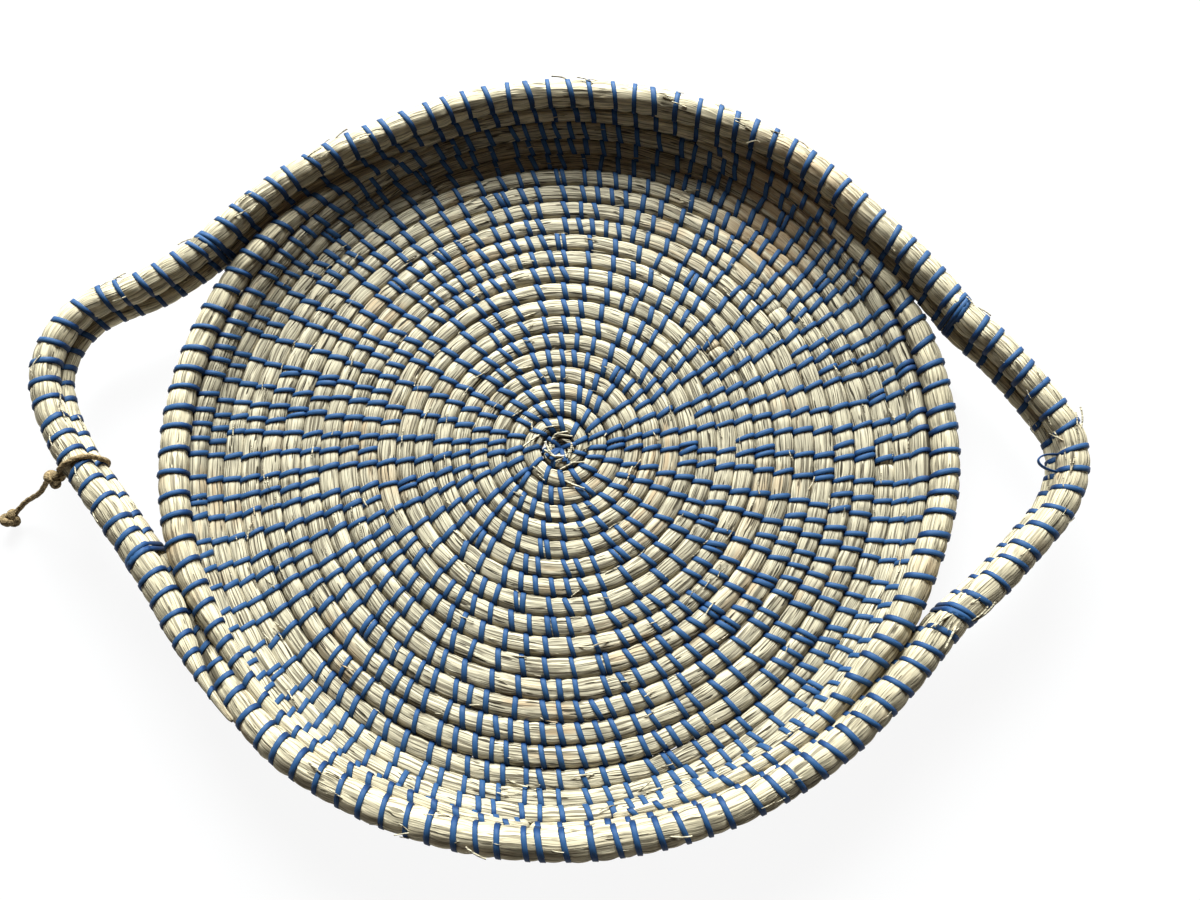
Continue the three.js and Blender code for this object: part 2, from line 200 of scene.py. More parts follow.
# Strips over the tucked start: angle where each begins, angle where it dives, reach
START_STRIPS = [(-142, 48, 9.0), (-121, 60, 8.6), (-70, 118, 8.6), (12, 192, 8.2), (148, -24, 8.0)]

# String
STRING_RADIUS = 1.4
STRING_ANGLE = 186.9
STRING_WANDER = 2.4
STRING_KNOT_RADIUS = 5.2
STRING_END_KNOT_RADIUS = 5.4
STRING_TAIL = [(-256.6, -37.4, 26.5), (-264.2, -41.5, 18.0), (-275.0, -45.2, 10.5), (-279.6, -48.6, 7.4)]
STRING_TAIL_END = (-283.8, -53.4, 5.7)
STRING_TAIL_DEPTHS = (1.6, 2.4)
KNOT_REACH = 2.1
KNOT_SIDES = 14
TWINE_SIDES = 16
TWINE_PLIES = 3
TWINE_LAY = 5.0

# Light: the lamp in metres and watts, the room's own light, and the share of glow in the pale floor
LAMP_PLACE = (-0.15, 1.60, 0.98)
LAMP_SIZE = (1.5, 0.95)
LAMP_POWER = 160.0
LAMP_COLOUR = (0.91, 0.975, 1.0)
ROOM_COLOUR = (1.0, 0.66, 0.38, 1.0)
ROOM_STRENGTH = 0.04
WHITE = (1.0, 1.0, 1.0, 1.0)
FLOOR_GLOW = 0.92

# The photograph's camera
IMAGE_WIDTH = 1200
FOCAL_PIXELS = 1116.5
SENSOR_WIDTH = 36.0
CAMERA_PLACE = (56.09, -167.23, 562.11)
CAMERA_RIGHT = (0.99757, 0.06101, -0.03357)
CAMERA_DOWN = (0.04874, -0.95601, -0.28926)
CAMERA_AHEAD = (-0.04974, 0.28692, -0.95666)


def mix(a, b, share):
    return a + (b - a) * share


def clamp01(x):
    return np.clip(x, 0.0, 1.0)


def eased(x):
    x = clamp01(x)
    return x * x * (3 - 2 * x)


# Coil routes


def climb_turn(turn):
    sway = CLIMB_SWAY * clamp01((turn - SWAY_START_TURN) / (FLOOR_TURNS - SWAY_START_TURN))
    return turn + sway * np.sin(TAU * turn)


def coil_profile(turn):
    climb = climb_turn(np.asarray(turn, float))
    flat = np.minimum(climb, BEND_START_TURN)
    bend_rate = WALL_LEAN / BEND_TURNS
    bend_radius = WALL_PITCH / bend_rate
    bent = np.clip(climb - BEND_START_TURN, 0, BEND_TURNS)
    straight = np.maximum(climb - BEND_START_TURN - BEND_TURNS, 0) * WALL_PITCH
    radius = START_RADIUS + PITCH_AT_START * flat + 0.5 * PITCH_GROWTH * flat * flat
    radius = radius + bend_radius * np.sin(bend_rate * bent) + straight * math.cos(WALL_LEAN)
    height = REST_SHARE * WALL_COIL_HALF_WIDTH + bend_radius * (1 - np.cos(bend_rate * bent))
    return radius, height + straight * math.sin(WALL_LEAN)


def nearest_turn(turn):
    """Distance from a place on the coil to the nearer of the turns beside it."""
    here = coil_profile(turn)
    outer, inner = (np.hypot(*(np.array(coil_profile(other)) - here)) for other in (turn + 1, turn - 1))
    return np.where(turn > 1, np.minimum(outer, inner), outer)


def coil_half_width(turn):
    full = np.minimum((nearest_turn(turn) - COIL_GAP) / 2, WALL_COIL_HALF_WIDTH)
    return mix(START_HALF_WIDTH, full, clamp01(turn))


def coil_full_width(turn):
    """Half width at which neighbouring turns just press on each other."""
    return mix(START_HALF_WIDTH + FULLER_START, nearest_turn(turn) / 2 + PRESS, clamp01(turn))


def coil_tilt(turn):
    """Angle of the wall's slope at a place on the coil; the floor has none."""
    return WALL_LEAN * clamp01((climb_turn(np.asarray(turn, float)) - BEND_START_TURN) / BEND_TURNS)


def coil_contacts(turn):
    """Directions in the cross-section in which the coil's neighbours press on it."""
    tilt = coil_tilt(turn)
    return np.stack([tilt, tilt + math.pi])


def coil_station(turn):
    """Centre, outward direction, direction along and half width of the floor and wall coil."""
    turn = np.asarray(turn, float)
    angle = (turn - 0.5) * TAU
    radius, height = coil_profile(turn)
    half = coil_half_width(turn)
    outward = np.stack([np.cos(angle), np.sin(angle), 0 * angle], -1)
    centre = outward * radius[..., None]
    centre[..., 2] = height - REST_SHARE * (WALL_COIL_HALF_WIDTH - half)
    along = np.stack([-np.sin(angle), np.cos(angle), 0 * angle], -1)
    return centre, outward, along, half
def coil_straw(turn, more=0.0):
    """The floor and wall coil as its straws fill it."""
    centre, outward, along, _ = coil_station(turn)
    return centre, outward, along, coil_full_width(turn) + more
def spline(points, closed=False, per_span=40):
    """Dense points along a centripetal Catmull-Rom curve."""
    points = np.asarray(points, float)
    if closed:
        padded = np.concatenate([points[-1:], points, points[:2]])
    else:
        padded = np.concatenate([[2 * points[0] - points[1]], points, [2 * points[-1] - points[-2]]])
    dense = []
    for p0, p1, p2, p3 in zip(padded, padded[1:], padded[2:], padded[3:]):
        d0, d1, d2 = (max(np.linalg.norm(b - a) ** 0.5, 1e-6) for a, b in ((p0, p1), (p1, p2), (p2, p3)))
        m1 = ((p1 - p0) / d0 - (p2 - p0) / (d0 + d1) + (p2 - p1) / d1) * d1
        m2 = ((p2 - p1) / d1 - (p3 - p1) / (d1 + d2) + (p3 - p2) / d2) * d1
        t = (np.arange(per_span) / per_span)[:, None]
        dense.append(
            p1 + m1 * t + (3 * (p2 - p1) - 2 * m1 - m2) * t**2 + (2 * (p1 - p2) + m1 + m2) * t**3
        )
    dense = np.concatenate(dense)
    return dense if closed else np.concatenate([dense, points[-1:]])


def travelled(points):
    """Length along a polyline at each of its points."""
    return np.concatenate([[0], np.cumsum(np.linalg.norm(np.diff(points, axis=0), axis=1))])


def points_at(lengths, travel, points):
    return np.stack([np.interp(lengths, travel, points[:, k]) for k in range(3)], -1)


def resample(points, spacing):
    """Points at an even spacing along a polyline."""
    travel = travelled(points)
    count = max(2, int(round(travel[-1] / spacing)))
    return points_at(np.linspace(0, travel[-1], count + 1), travel, points)


WALL_END = coil_profile(WALL_END_TURN)
RIM_HALF_WIDTH = float(WALL_END[0]) + SECOND_INSET
RIM_HALF_LENGTH = RIM_HALF_WIDTH + RIM_OVAL
SECOND_HEIGHT = float(WALL_END[1]) + COURSE_GAP
COURSE_ANGLE = math.pi - math.acos(SECOND_INSET / (SECOND_RADIUS + RIM_RADIUS + COURSE_GAP))
RIM_HEIGHT = SECOND_HEIGHT + math.sqrt((SECOND_RADIUS + RIM_RADIUS + COURSE_GAP) ** 2 - SECOND_INSET**2)


@functools.lru_cache(None)
def rim_outline():
    """The rim's centre line in plan from the near middle: lengths along it, and points."""

    def arc(start, end):
        angle = np.radians(np.linspace(start, end, 5))
        radius = 1 / np.hypot(np.cos(angle) / RIM_HALF_LENGTH, np.sin(angle) / RIM_HALF_WIDTH)
        return list(np.stack([radius * np.cos(angle), radius * np.sin(angle)], -1))

    corners = arc(270, NEAR_RIM_ARC[1]) + RIGHT_HANDLE + arc(*FAR_RIM_ARC) + LEFT_HANDLE
    corners += arc(NEAR_RIM_ARC[0], 270)[:-1]
    points = spline([(x, y, 0.0) for x, y in corners], closed=True)
    points = np.concatenate([points, points[:1]])
    return travelled(points), points


def outline_length():
    return float(rim_outline()[0][-1])


def outline_station(place):
    along, points = rim_outline()
    length = along[-1]

    def at(where):
        return points_at(np.mod(where, 1.0) * length, along, points)

    step = 1.0 / length
    tangent = at(place + step) - at(place - step)
    tangent /= np.linalg.norm(tangent, axis=-1, keepdims=True)
    outward = np.stack([tangent[..., 1], -tangent[..., 0], 0 * tangent[..., 0]], -1)
    return at(place), tangent, outward


def place_at_angle(degrees):
    places = np.arange(2000) / 2000
    x, y, _ = outline_station(places)[0].T
    angle = math.radians(degrees)
    return float(places[np.argmax((x * math.cos(angle) + y * math.sin(angle)) / np.hypot(x, y))])


def top_station(place):
    """Centre, outward, along and radius of the second course and the rim."""
    place = np.asarray(place, float)
    point, along, outward = outline_station(place)
    climbed = clamp01((place - CLIMB_START) / (CLIMB_END - CLIMB_START))
    share = eased(climbed)
    full = mix(SECOND_RADIUS, RIM_RADIUS, share)
    tapered = mix(full, RIM_TAPER_RADIUS, eased((place - TAPER_START) / (TAPER_END - TAPER_START)))
    radius = np.where(place > 1, tapered, full)
    inset = mix(SECOND_INSET, 0.0, share)
    lift = TOP_RISE * clamp01(np.mod(place, 1) * 2)
    lift = np.where((climbed > 0) & (place < 1), lift * (1 - share), lift)
    centre = point + outward * ((full - radius) * 0.7 - inset)[..., None]
    centre[..., 2] = mix(SECOND_HEIGHT, RIM_HEIGHT, share) + lift + (full - radius) * 0.7
    return centre, outward, along, radius


def last_turn_at(degrees):
    """The wall coil's last turn at an angle in plan."""
    return coil_station(WALL_END_TURN - 0.75 + degrees / 360)


def side_rim_radius(offset, span):
    full = eased((SIDE_RIM_THIN_SPAN - np.abs(offset)) / (SIDE_RIM_THIN_SPAN - SIDE_RIM_FULL_SPAN))
    from_tip = clamp01(np.minimum(offset - span[0], span[1] - offset) / SIDE_RIM_TIP_SPAN)
    return mix(mix(SIDE_RIM_TIP_RADIUS, SIDE_RIM_THIN_RADIUS, from_tip), SIDE_RIM_RADIUS, full)


@functools.lru_cache(None)
def side_rim_leans(middle, span, lean_turn):
    """Places on a side rim and its lean there: inwards as far as the second course and rim make it."""
    places = np.arange(0, TOP_TURNS, 2 / outline_length())
    top, _, _, top_radius = top_station(places)
    lashed = np.array([place_at_angle(degrees) for degrees in LASHING_ANGLES.values()])
    away = np.abs(np.mod(places, 1)[:, None] - lashed).min(axis=1) * outline_length()
    room = clamp01((LASHING_LENGTH / 2 + 2 * LASHING_FADE - away) / LASHING_FADE)
    needs = top_radius + SEAT_GAP + (LASHING_CLEARANCE + LASHING_THICKNESS) * room
    offsets = np.linspace(*span, 80)
    centre, outward, _, half = last_turn_at(middle + offsets)
    radius = side_rim_radius(offsets, span)
    turned = eased((offsets - lean_turn[0]) / (lean_turn[1] - lean_turn[0]))
    leans = []
    for c, o, r, h, free in zip(centre, outward, radius, half, mix(*SIDE_RIM_LEANS, turned)):
        tried = np.arange(free, SIDE_RIM_MOST_LEAN, 1.0)
        angle = np.radians(tried)[:, None]
        at = c + (o * np.cos(angle) + UP * np.sin(angle)) * (h + r + SEAT_GAP)
        gap = (np.linalg.norm(at[:, None] - top[None], axis=2) - needs).min(axis=1) - r
        clear = np.nonzero(gap >= 0)[0]
        leans.append(tried[clear[0]] if len(clear) else SIDE_RIM_MOST_LEAN)
    leans = np.convolve(np.pad(leans, 2, "edge"), [0.1, 0.2, 0.4, 0.2, 0.1], "valid")
    return offsets, leans


def side_rim_station(offset, middle, span, lean_turn):
    offset = np.asarray(offset, float)
    radius = side_rim_radius(offset, span)
    angle = np.radians(np.interp(offset, *side_rim_leans(middle, span, lean_turn)))
    centre, outward, along, half = last_turn_at(middle + offset)
    reach = half + radius + SEAT_GAP
    centre = centre + outward * (np.cos(angle) * reach)[..., None]
    centre[..., 2] += np.sin(angle) * reach
    return centre, outward, along, radius


def side_rim_straw(offset, middle, span, lean_turn):
    """The side rim as its straws fill it: fuller where it is thin, its tails tucked between the courses."""
    centre, outward, along, radius = side_rim_station(offset, middle, span, lean_turn)
    beyond = clamp01(np.maximum(span[0] - offset, offset - span[1]) / SIDE_RIM_TAIL)
    return centre, outward, along, (radius * 0.85 + 1.2) * (1 - 0.45 * beyond)


# Stitch places


def stitch_spacing(turn):
    """Millimetres between stitches, closer near the middle."""
    return mix(*STITCH_SPACING, clamp01(turn / STITCH_CLOSE_TURNS))


@functools.lru_cache(None)
def coil_stitches():
    """Turn counts of the stitches on the floor and wall coil, each set beside one of the turn before."""
    rng = np.random.default_rng(11)
    places = []
    turn = 0.03
    while turn < 1.0:
        places.append(turn)
        turn += stitch_spacing(turn) / (TAU * float(coil_profile(turn)[0])) * rng.uniform(0.9, 1.1)
    follow = 0
    while places[-1] < WALL_END_TURN - 0.01:
        last = places[-1]
        per_mm = 1 / (TAU * float(coil_profile(last)[0]))
        target = stitch_spacing(last)
        candidate = places[follow] + 1 + rng.normal(0.2, 0.55) * per_mm
        follow += 1
        gap = (candidate - last) / per_mm
        if gap < 0.62 * target:
            continue
        if gap > 1.36 * target:
            places.append(last + gap * per_mm * rng.uniform(0.44, 0.56))
        places.append(candidate)
        if rng.uniform() < 0.035:
            places.append(candidate + 3.4 * per_mm)
    return np.array([p for p in places if p < WALL_END_TURN])


def spaced(rng, start, stop, spacing, low, high):
    """Places from start to stop, each about a spacing on from the last."""
    places = []
    while start < stop:
        places.append(start)
        start += spacing * rng.uniform(low, high)
    return places


@functools.lru_cache(None)
def top_stitches():
    """Places of the stitches on the second course and the rim; each rim stitch carries on one below it."""
    rng = np.random.default_rng(12)
    per_mm = 1 / outline_length()
    places = spaced(rng, 0.004, 1.0, TOP_STITCH_SPACING * per_mm, 0.86, 1.16)
    for p in [p for p in places if p < TAPER_END - 1.012]:
        above = p + 1 + (1.6 + rng.normal(0, 0.5)) * per_mm
        if places[-1] + 5 * per_mm < above:
            places.append(above)
    return np.array(places)


def side_stitches(span, seed):
    rng = np.random.default_rng(seed)
    degrees_per_mm = 360 / (TAU * 190)
    spacing = SIDE_STITCH_SPACING * degrees_per_mm
    return np.array(spaced(rng, span[0] - 5.0, span[1] + 6.0, spacing, 0.86, 1.14))


# Mesh helpers


def lattice_noise(u, v, seed):
    """Smooth value noise between -1 and 1 over two coordinates."""
    table = np.random.default_rng(seed).uniform(-1, 1, 4096)
    iu, iv = np.floor(u).astype(np.int64), np.floor(v).astype(np.int64)
    fu, fv = u - iu, v - iv
    fu, fv = fu * fu * (3 - 2 * fu), fv * fv * (3 - 2 * fv)

    def corner(a, b):
        return table[(a * 73856093 ^ b * 19349663 ^ seed * 83492791) % 4096]

    near = mix(corner(iu, iv), corner(iu + 1, iv), fu)
    far = mix(corner(iu, iv + 1), corner(iu + 1, iv + 1), fu)
    return mix(near, far, fv)


def linked(name, data):
    """A new object in the scene that holds the given data."""
    obj = bpy.data.objects.new(name, data)
    bpy.context.scene.collection.objects.link(obj)
    return obj


def new_object(name, vertices, faces):
    """A mesh object whose vertices are given in millimetres from the spiral's middle."""
    vertices = (np.asarray(vertices, float) + SHIFT) * MM
    mesh = bpy.data.meshes.new(name)
    faces = np.asarray(faces, dtype=np.int32)
    mesh.vertices.add(len(vertices))
    mesh.vertices.foreach_set("co", vertices.astype(np.float32).ravel())
    sides = faces.shape[1]
    mesh.loops.add(len(faces) * sides)
    mesh.loops.foreach_set("vertex_index", faces.ravel())
    mesh.polygons.add(len(faces))
    mesh.polygons.foreach_set("loop_start", np.arange(len(faces), dtype=np.int32) * sides)
    mesh.update(calc_edges=True)
    mesh.validate()
    mesh.polygons.foreach_set("use_smooth", np.full(len(mesh.polygons), True))
    return linked(name, mesh)


def ring_faces(rings, sides, closed=False):
    i = np.arange(rings if closed else rings - 1)[:, None]
    j = np.arange(sides)[None, :]
    nxt = (i + 1) % rings
    k = (j + 1) % sides
    quad = np.stack([i * sides + j, nxt * sides + j, nxt * sides + k, i * sides + k], -1)
    return quad.reshape(-1, 4)


def tubes_object(name, tubes):
    """An object of tubes, each given as its rings of points, with a fan over each end."""
    sides = tubes[0].shape[1]
    edges = np.cumsum([0] + [len(rings) * sides for rings in tubes])
    faces = [ring_faces(len(rings), sides) + edge for rings, edge in zip(tubes, edges)]
    obj = new_object(name, np.concatenate([rings.reshape(-1, 3) for rings in tubes]), np.concatenate(faces))
    bm = bmesh.new()
    bm.from_mesh(obj.data)
    corners = list(bm.verts)
    for start, stop in zip(edges, edges[1:]):
        for ring, flip in ((corners[start : start + sides], False), (corners[stop - sides : stop], True)):
            centre = bm.verts.new(sum((v.co for v in ring), Vector()) / sides)
            for a, b in zip(ring, ring[1:] + ring[:1]):
                bm.faces.new((b, a, centre) if flip else (a, b, centre)).smooth = True
    bm.to_mesh(obj.data)
    bm.free()
    return obj


def fix_normals(obj):
    """Turns a closed mesh's faces outwards."""
    bm = bmesh.new()
    bm.from_mesh(obj.data)
    bmesh.ops.recalc_face_normals(bm, faces=bm.faces)
    bm.to_mesh(obj.data)
    bm.free()


def numbers(elements, field, size=1, kind=np.float32):
    """One field of a mesh's elements as a flat array."""
    values = np.zeros(len(elements) * size, dtype=kind)
    elements.foreach_get(field, values)
    return values


def set_uv(obj, u, v, sides):
    """A UV map in metres: u along the bundle, v round it, with the seam at the first column."""
    mesh = obj.data
    loops = numbers(mesh.loops, "vertex_index", kind=np.int32)
    uv = np.zeros((len(loops), 2), dtype=np.float32)
    known = loops < len(u)
    uv[known, 0] = u[loops[known]]
    uv[known, 1] = v[loops[known]]
    starts = numbers(mesh.polygons, "loop_start", kind=np.int32)
    quads = starts[numbers(mesh.polygons, "loop_total", kind=np.int32) == 4]
    for corner in range(4):
        at = quads + corner
        wraps = (loops[at] % sides == 0) & (loops[quads + (corner + 2) % 4] % sides == sides - 1)
        uv[at[wraps], 1] = float(v.max()) * sides / (sides - 1)
    mesh.uv_layers.new(name="along").data.foreach_set("uv", uv.ravel())


def set_plan_uv(obj):
    """A UV map that is each vertex's place in plan; returns the vertices in metres."""
    mesh = obj.data
    places = numbers(mesh.vertices, "co", 3).reshape(-1, 3)
    loops = numbers(mesh.loops, "vertex_index", kind=np.int32)
    mesh.uv_layers.new(name="along").data.foreach_set("uv", places[loops, :2].ravel())
    return places


def set_fields(obj, **fields):
    """Numbers on the vertices for the shaders, one for all or one each; the fans' middles get 0."""
    for name, values in fields.items():
        full = np.zeros(len(obj.data.vertices), dtype=np.float32)
        full[: np.size(values) if np.ndim(values) else None] = values
        obj.data.attributes.new(name, "FLOAT", "POINT").data.foreach_set("value", full)


def squared(angle, power):
    """Reach of a rounded square of unit half width in a direction."""
    return (np.abs(np.cos(angle)) ** power + np.abs(np.sin(angle)) ** power) ** (-1 / power)


def straw_bundle(
    name, station, params, stitches, seed, contacts, sides=30, start=0.0, power=COIL_SQUARE, tangle=0.0
):
    """A bundle of straws on a route: lobed, drawn in under each stitch, pressed by its neighbours."""
    centre, outward, _, radius = station(params)
    arc = travelled(centre)
    stitch_arc = np.interp(stitches, params, arc)
    near = np.clip(np.searchsorted(stitch_arc, arc), 1, len(stitch_arc) - 1)
    before, after = stitch_arc[near - 1], stitch_arc[near]
    distance = np.minimum(np.abs(arc - before), np.abs(arc - after))
    bulge = clamp01(distance / (0.5 * np.maximum(after - before, 4.0)))[:, None]
    phi = -math.pi / 2 + np.arange(sides) / sides * TAU
    s = arc[:, None] + start
    around = (phi[None, :] + math.pi / 2) * WALL_COIL_HALF_WIDTH
    cell = around + TWIST[1] * lattice_noise(s / TWIST[0], 0 * s, seed + 5)
    straw = 1 - np.abs(lattice_noise(s / STRAW[0], cell / STRAW[1], seed)) * 1.7
    fine = lattice_noise(s / FIBRE[0], cell / FIBRE[1], seed + 1)
    lump = lattice_noise(s / LUMP[0], phi[None, :] / LUMP[1] + 0 * s, seed + 2)
    crack = clamp01((lattice_noise(s / CRACK[0], cell / CRACK[1] + 31, seed + 3) - 0.5) / 0.3)
    size = radius[:, None] / WALL_COIL_HALF_WIDTH
    relief = STRAW[2] * straw + FIBRE[2] * fine + LUMP[2] * lump + CRACK[2] * crack
    relief = (0.2 + 0.8 * bulge**0.6) * relief * (1 + tangle * np.exp(-s / TANGLE_REACH))
    draw = np.exp(-((distance / STITCH_REACH) ** 2))[:, None]
    out = radius[:, None] + size * (relief + SWELL * bulge**0.7 - STITCH_DRAW * draw * (0.6 + 0.4 * bulge))
    ease = clamp01(np.minimum(arc, arc[-1] - arc) / END_LENGTH)[:, None]
    out = out * (0.55 + 0.45 * np.sqrt(ease)) * squared(phi[None, :] - contacts[0][:, None], power)
    sideways, upwards = (out * np.cos(phi))[..., None], (out * np.sin(phi))[..., None]
    rings = centre[:, None, :] + outward[:, None, :] * sideways + UP * upwards
    rings[..., 2] = np.maximum(rings[..., 2], STRAW_FOOT)
    obj = tubes_object(name, [rings])
    set_uv(obj, np.repeat(s[:, 0], sides) * MM, np.tile(around[0], len(params)) * MM, sides)
    # The open field: how far each point turns from the neighbours pressing on it; the straw finish paints shade
    # in the grooves where it is low
    turned = np.abs((phi[None, None, :] - contacts[:, :, None] + math.pi) % TAU - math.pi).min(axis=0)
    set_fields(obj, open=np.sin(np.minimum(turned, math.pi / 2)).ravel())
    return obj


def even_params(station, start, end, spacing):
    coarse = np.linspace(start, end, 6000)
    arc = travelled(station(coarse)[0])
    count = max(8, int(arc[-1] / spacing))
    return np.interp(np.linspace(0, arc[-1], count), arc, coarse)


def tube_rings(points, radii, sides, plies=0, lay=1.0):
    """Rings round a route; plies gives a twisted twine its strands, one lay of millimetres apart."""
    tangent = np.gradient(points, axis=0)
    tangent /= np.linalg.norm(tangent, axis=1, keepdims=True)
    side = UP if abs(tangent[0] @ UP) <= 0.9 else np.array([1.0, 0, 0])
    phi = np.arange(sides) / sides * TAU
    radii = np.broadcast_to(radii, len(points))
    out = []
    for point, ahead, radius, arc in zip(points, tangent, radii, travelled(points)):
        side = side - ahead * (side @ ahead)
        side = side / np.linalg.norm(side)
        r = np.full(sides, radius)
        if plies:
            r = r * (0.80 + 0.24 * np.abs(np.sin(plies / 2 * (phi + arc / lay * TAU / plies))))
        out.append(point + np.outer(np.cos(phi) * r, side) + np.outer(np.sin(phi) * r, np.cross(side, ahead)))
    return np.array(out)


def twine(name, route, node):
    obj = tubes_object(name, [tube_rings(route, STRING_RADIUS, TWINE_SIDES, TWINE_PLIES, TWINE_LAY)])
    return hand_over(obj, "jute", node)


def strap(points, spacing, sides, tall, wide):
    """Rings of a flat strip through the points; tall and wide are its half height and half width."""
    route = resample(spline(points), spacing)
    flat = tube_rings(route, 1.0, sides) - route[:, None, :]
    side = np.cross(np.gradient(route, axis=0), UP)
    side = (side / np.linalg.norm(side, axis=1, keepdims=True))[:, None, :]
    spread = side * (flat * side).sum(-1, keepdims=True)
    return route[:, None, :] + (flat - spread) * tall + spread * wide


def strip_piece(obj, *nodes, **fields):
    """Finishes a piece of strip that isn't a run of stitches."""
    # Across and top set how much painted shade and painted highlight the strip finish gives the piece
    set_fields(obj, **fields)
    fix_normals(obj)
    return hand_over(obj, "strip", *nodes)


def handle_section(place, grown, steps):
    """Points round the second course and the rim in the plane across the handle, and its frame."""
    lower_centre, _, _, lower_radius = top_station(np.array([place]))
    upper_centre, outward, along, upper_radius = top_station(np.array([place + 1]))
    across = float((lower_centre[0] - upper_centre[0]) @ outward[0])
    circles = [
        (0.0, upper_centre[0, 2], float(upper_radius[0]) + grown),
        (across, lower_centre[0, 2], float(lower_radius[0]) + grown),
    ]
    points = []
    for angle in np.arange(steps) / steps * TAU:
        c, s = math.cos(angle), math.sin(angle)
        x, z, r = max(circles, key=lambda k: k[0] * c + k[1] * s + k[2])
        points.append((x + r * c, z + r * s))
    return points, upper_centre[0], outward[0], along[0], float(upper_radius[0])


def on_handle(point, centre, outward):
    return np.array([centre[0], centre[1], 0.0]) + outward * point[0] + UP * point[1]


# Shader expressions


class Link:
    """A node socket that takes part in sums as a number would."""

    def __init__(self, graph, socket):
        self.graph = graph
        self.socket = socket

    def __abs__(self):
        return self.graph.math("ABSOLUTE", self)

    def clamp(self, low=0.0, high=1.0):
        return self.graph.node("ShaderNodeClamp", self, low, high)

    def smooth(self, low, high):
        """0 below low, 1 above high, eased between."""
        return self.graph.node(
            "ShaderNodeMapRange", how={"interpolation_type": "SMOOTHSTEP"},
            **{"Value": self, "From Min": low, "From Max": high, "To Min": 0.0, "To Max": 1.0},
        )


SIGNS = {"add": "ADD", "sub": "SUBTRACT", "mul": "MULTIPLY", "truediv": "DIVIDE", "pow": "POWER"}
for sign, operation in SIGNS.items():
    setattr(Link, f"__{sign}__", lambda a, b, kind=operation: a.graph.math(kind, a, b))
    setattr(Link, f"__r{sign}__", lambda b, a, kind=operation: b.graph.math(kind, a, b))


class Graph:
    """A node tree that is written as expressions."""

    def __init__(self, tree):
        self.nodes = tree.nodes
        self.links = tree.links
        self.nodes.clear()

    def node(self, kind, *values, how=(), out=0, **named):
        """Adds a node; values go to its inputs in order, named ones to inputs of that name."""
        made = self.nodes.new(kind)
        for key, value in dict(how).items():
            setattr(made, key, value)
        for socket, value in [*zip(made.inputs, values), *((made.inputs[k], v) for k, v in named.items())]:
            if isinstance(value, Link):
                self.links.new(value.socket, socket)
            elif value is not None:
                socket.default_value = value
        return Link(self, made.outputs[out]) if len(made.outputs) else None

    def math(self, operation, *values):
        return self.node("ShaderNodeMath", *values, how={"operation": operation})

    def vector(self, *values):
        return self.node("ShaderNodeCombineXYZ", *values)

    def split(self, vector):
        made = self.node("ShaderNodeSeparateXYZ", vector).socket.node
        return [Link(self, output) for output in made.outputs]

    def seen(self):
        """1 for rays from the camera, off glossy things or through clear ones, 0 for the rest."""
        made = self.node("ShaderNodeLightPath").socket.node
        camera, glossy, clear = (
            Link(self, made.outputs[f"Is {kind} Ray"]) for kind in ("Camera", "Glossy", "Transmission")
        )
        return (camera + glossy + clear).clamp()


class Finish(Graph):
    """A material."""

    def __init__(self, name):
        self.material = bpy.data.materials.new(name)
        self.material.use_nodes = True
        super().__init__(self.material.node_tree)

    def mix(self, share, a, b):
        pair = [v if isinstance(v, Link) else (*v, 1.0) for v in (a, b)]
        return self.node("ShaderNodeMix", share, *[None] * 5, *pair, how={"data_type": "RGBA"}, out=2)

    def attribute(self, name):
        return self.node("ShaderNodeAttribute", how={"attribute_name": name}, out=2)

    def place(self):
        """The shaded point, in metres."""
        return self.node("ShaderNodeTexCoord", out=3)

    def noise(self, vector, scale, detail=2.0):
        return self.node("ShaderNodeTexNoise", Vector=vector, Scale=scale, Detail=detail, Roughness=0.5)

    def bump(self, height, strength, distance):
        return self.node("ShaderNodeBump", Strength=strength, Distance=distance, Height=height)

    def surface(self, base, roughness, normal, specular):
        named = {"Base Color": base, "Roughness": roughness, "Normal": normal, "Specular IOR Level": specular}
        self.node("ShaderNodeOutputMaterial", self.node("ShaderNodeBsdfPrincipled", **named))
        return self.material


def shade(colour, factor):
    return tuple(min(1, c * factor) for c in colour)


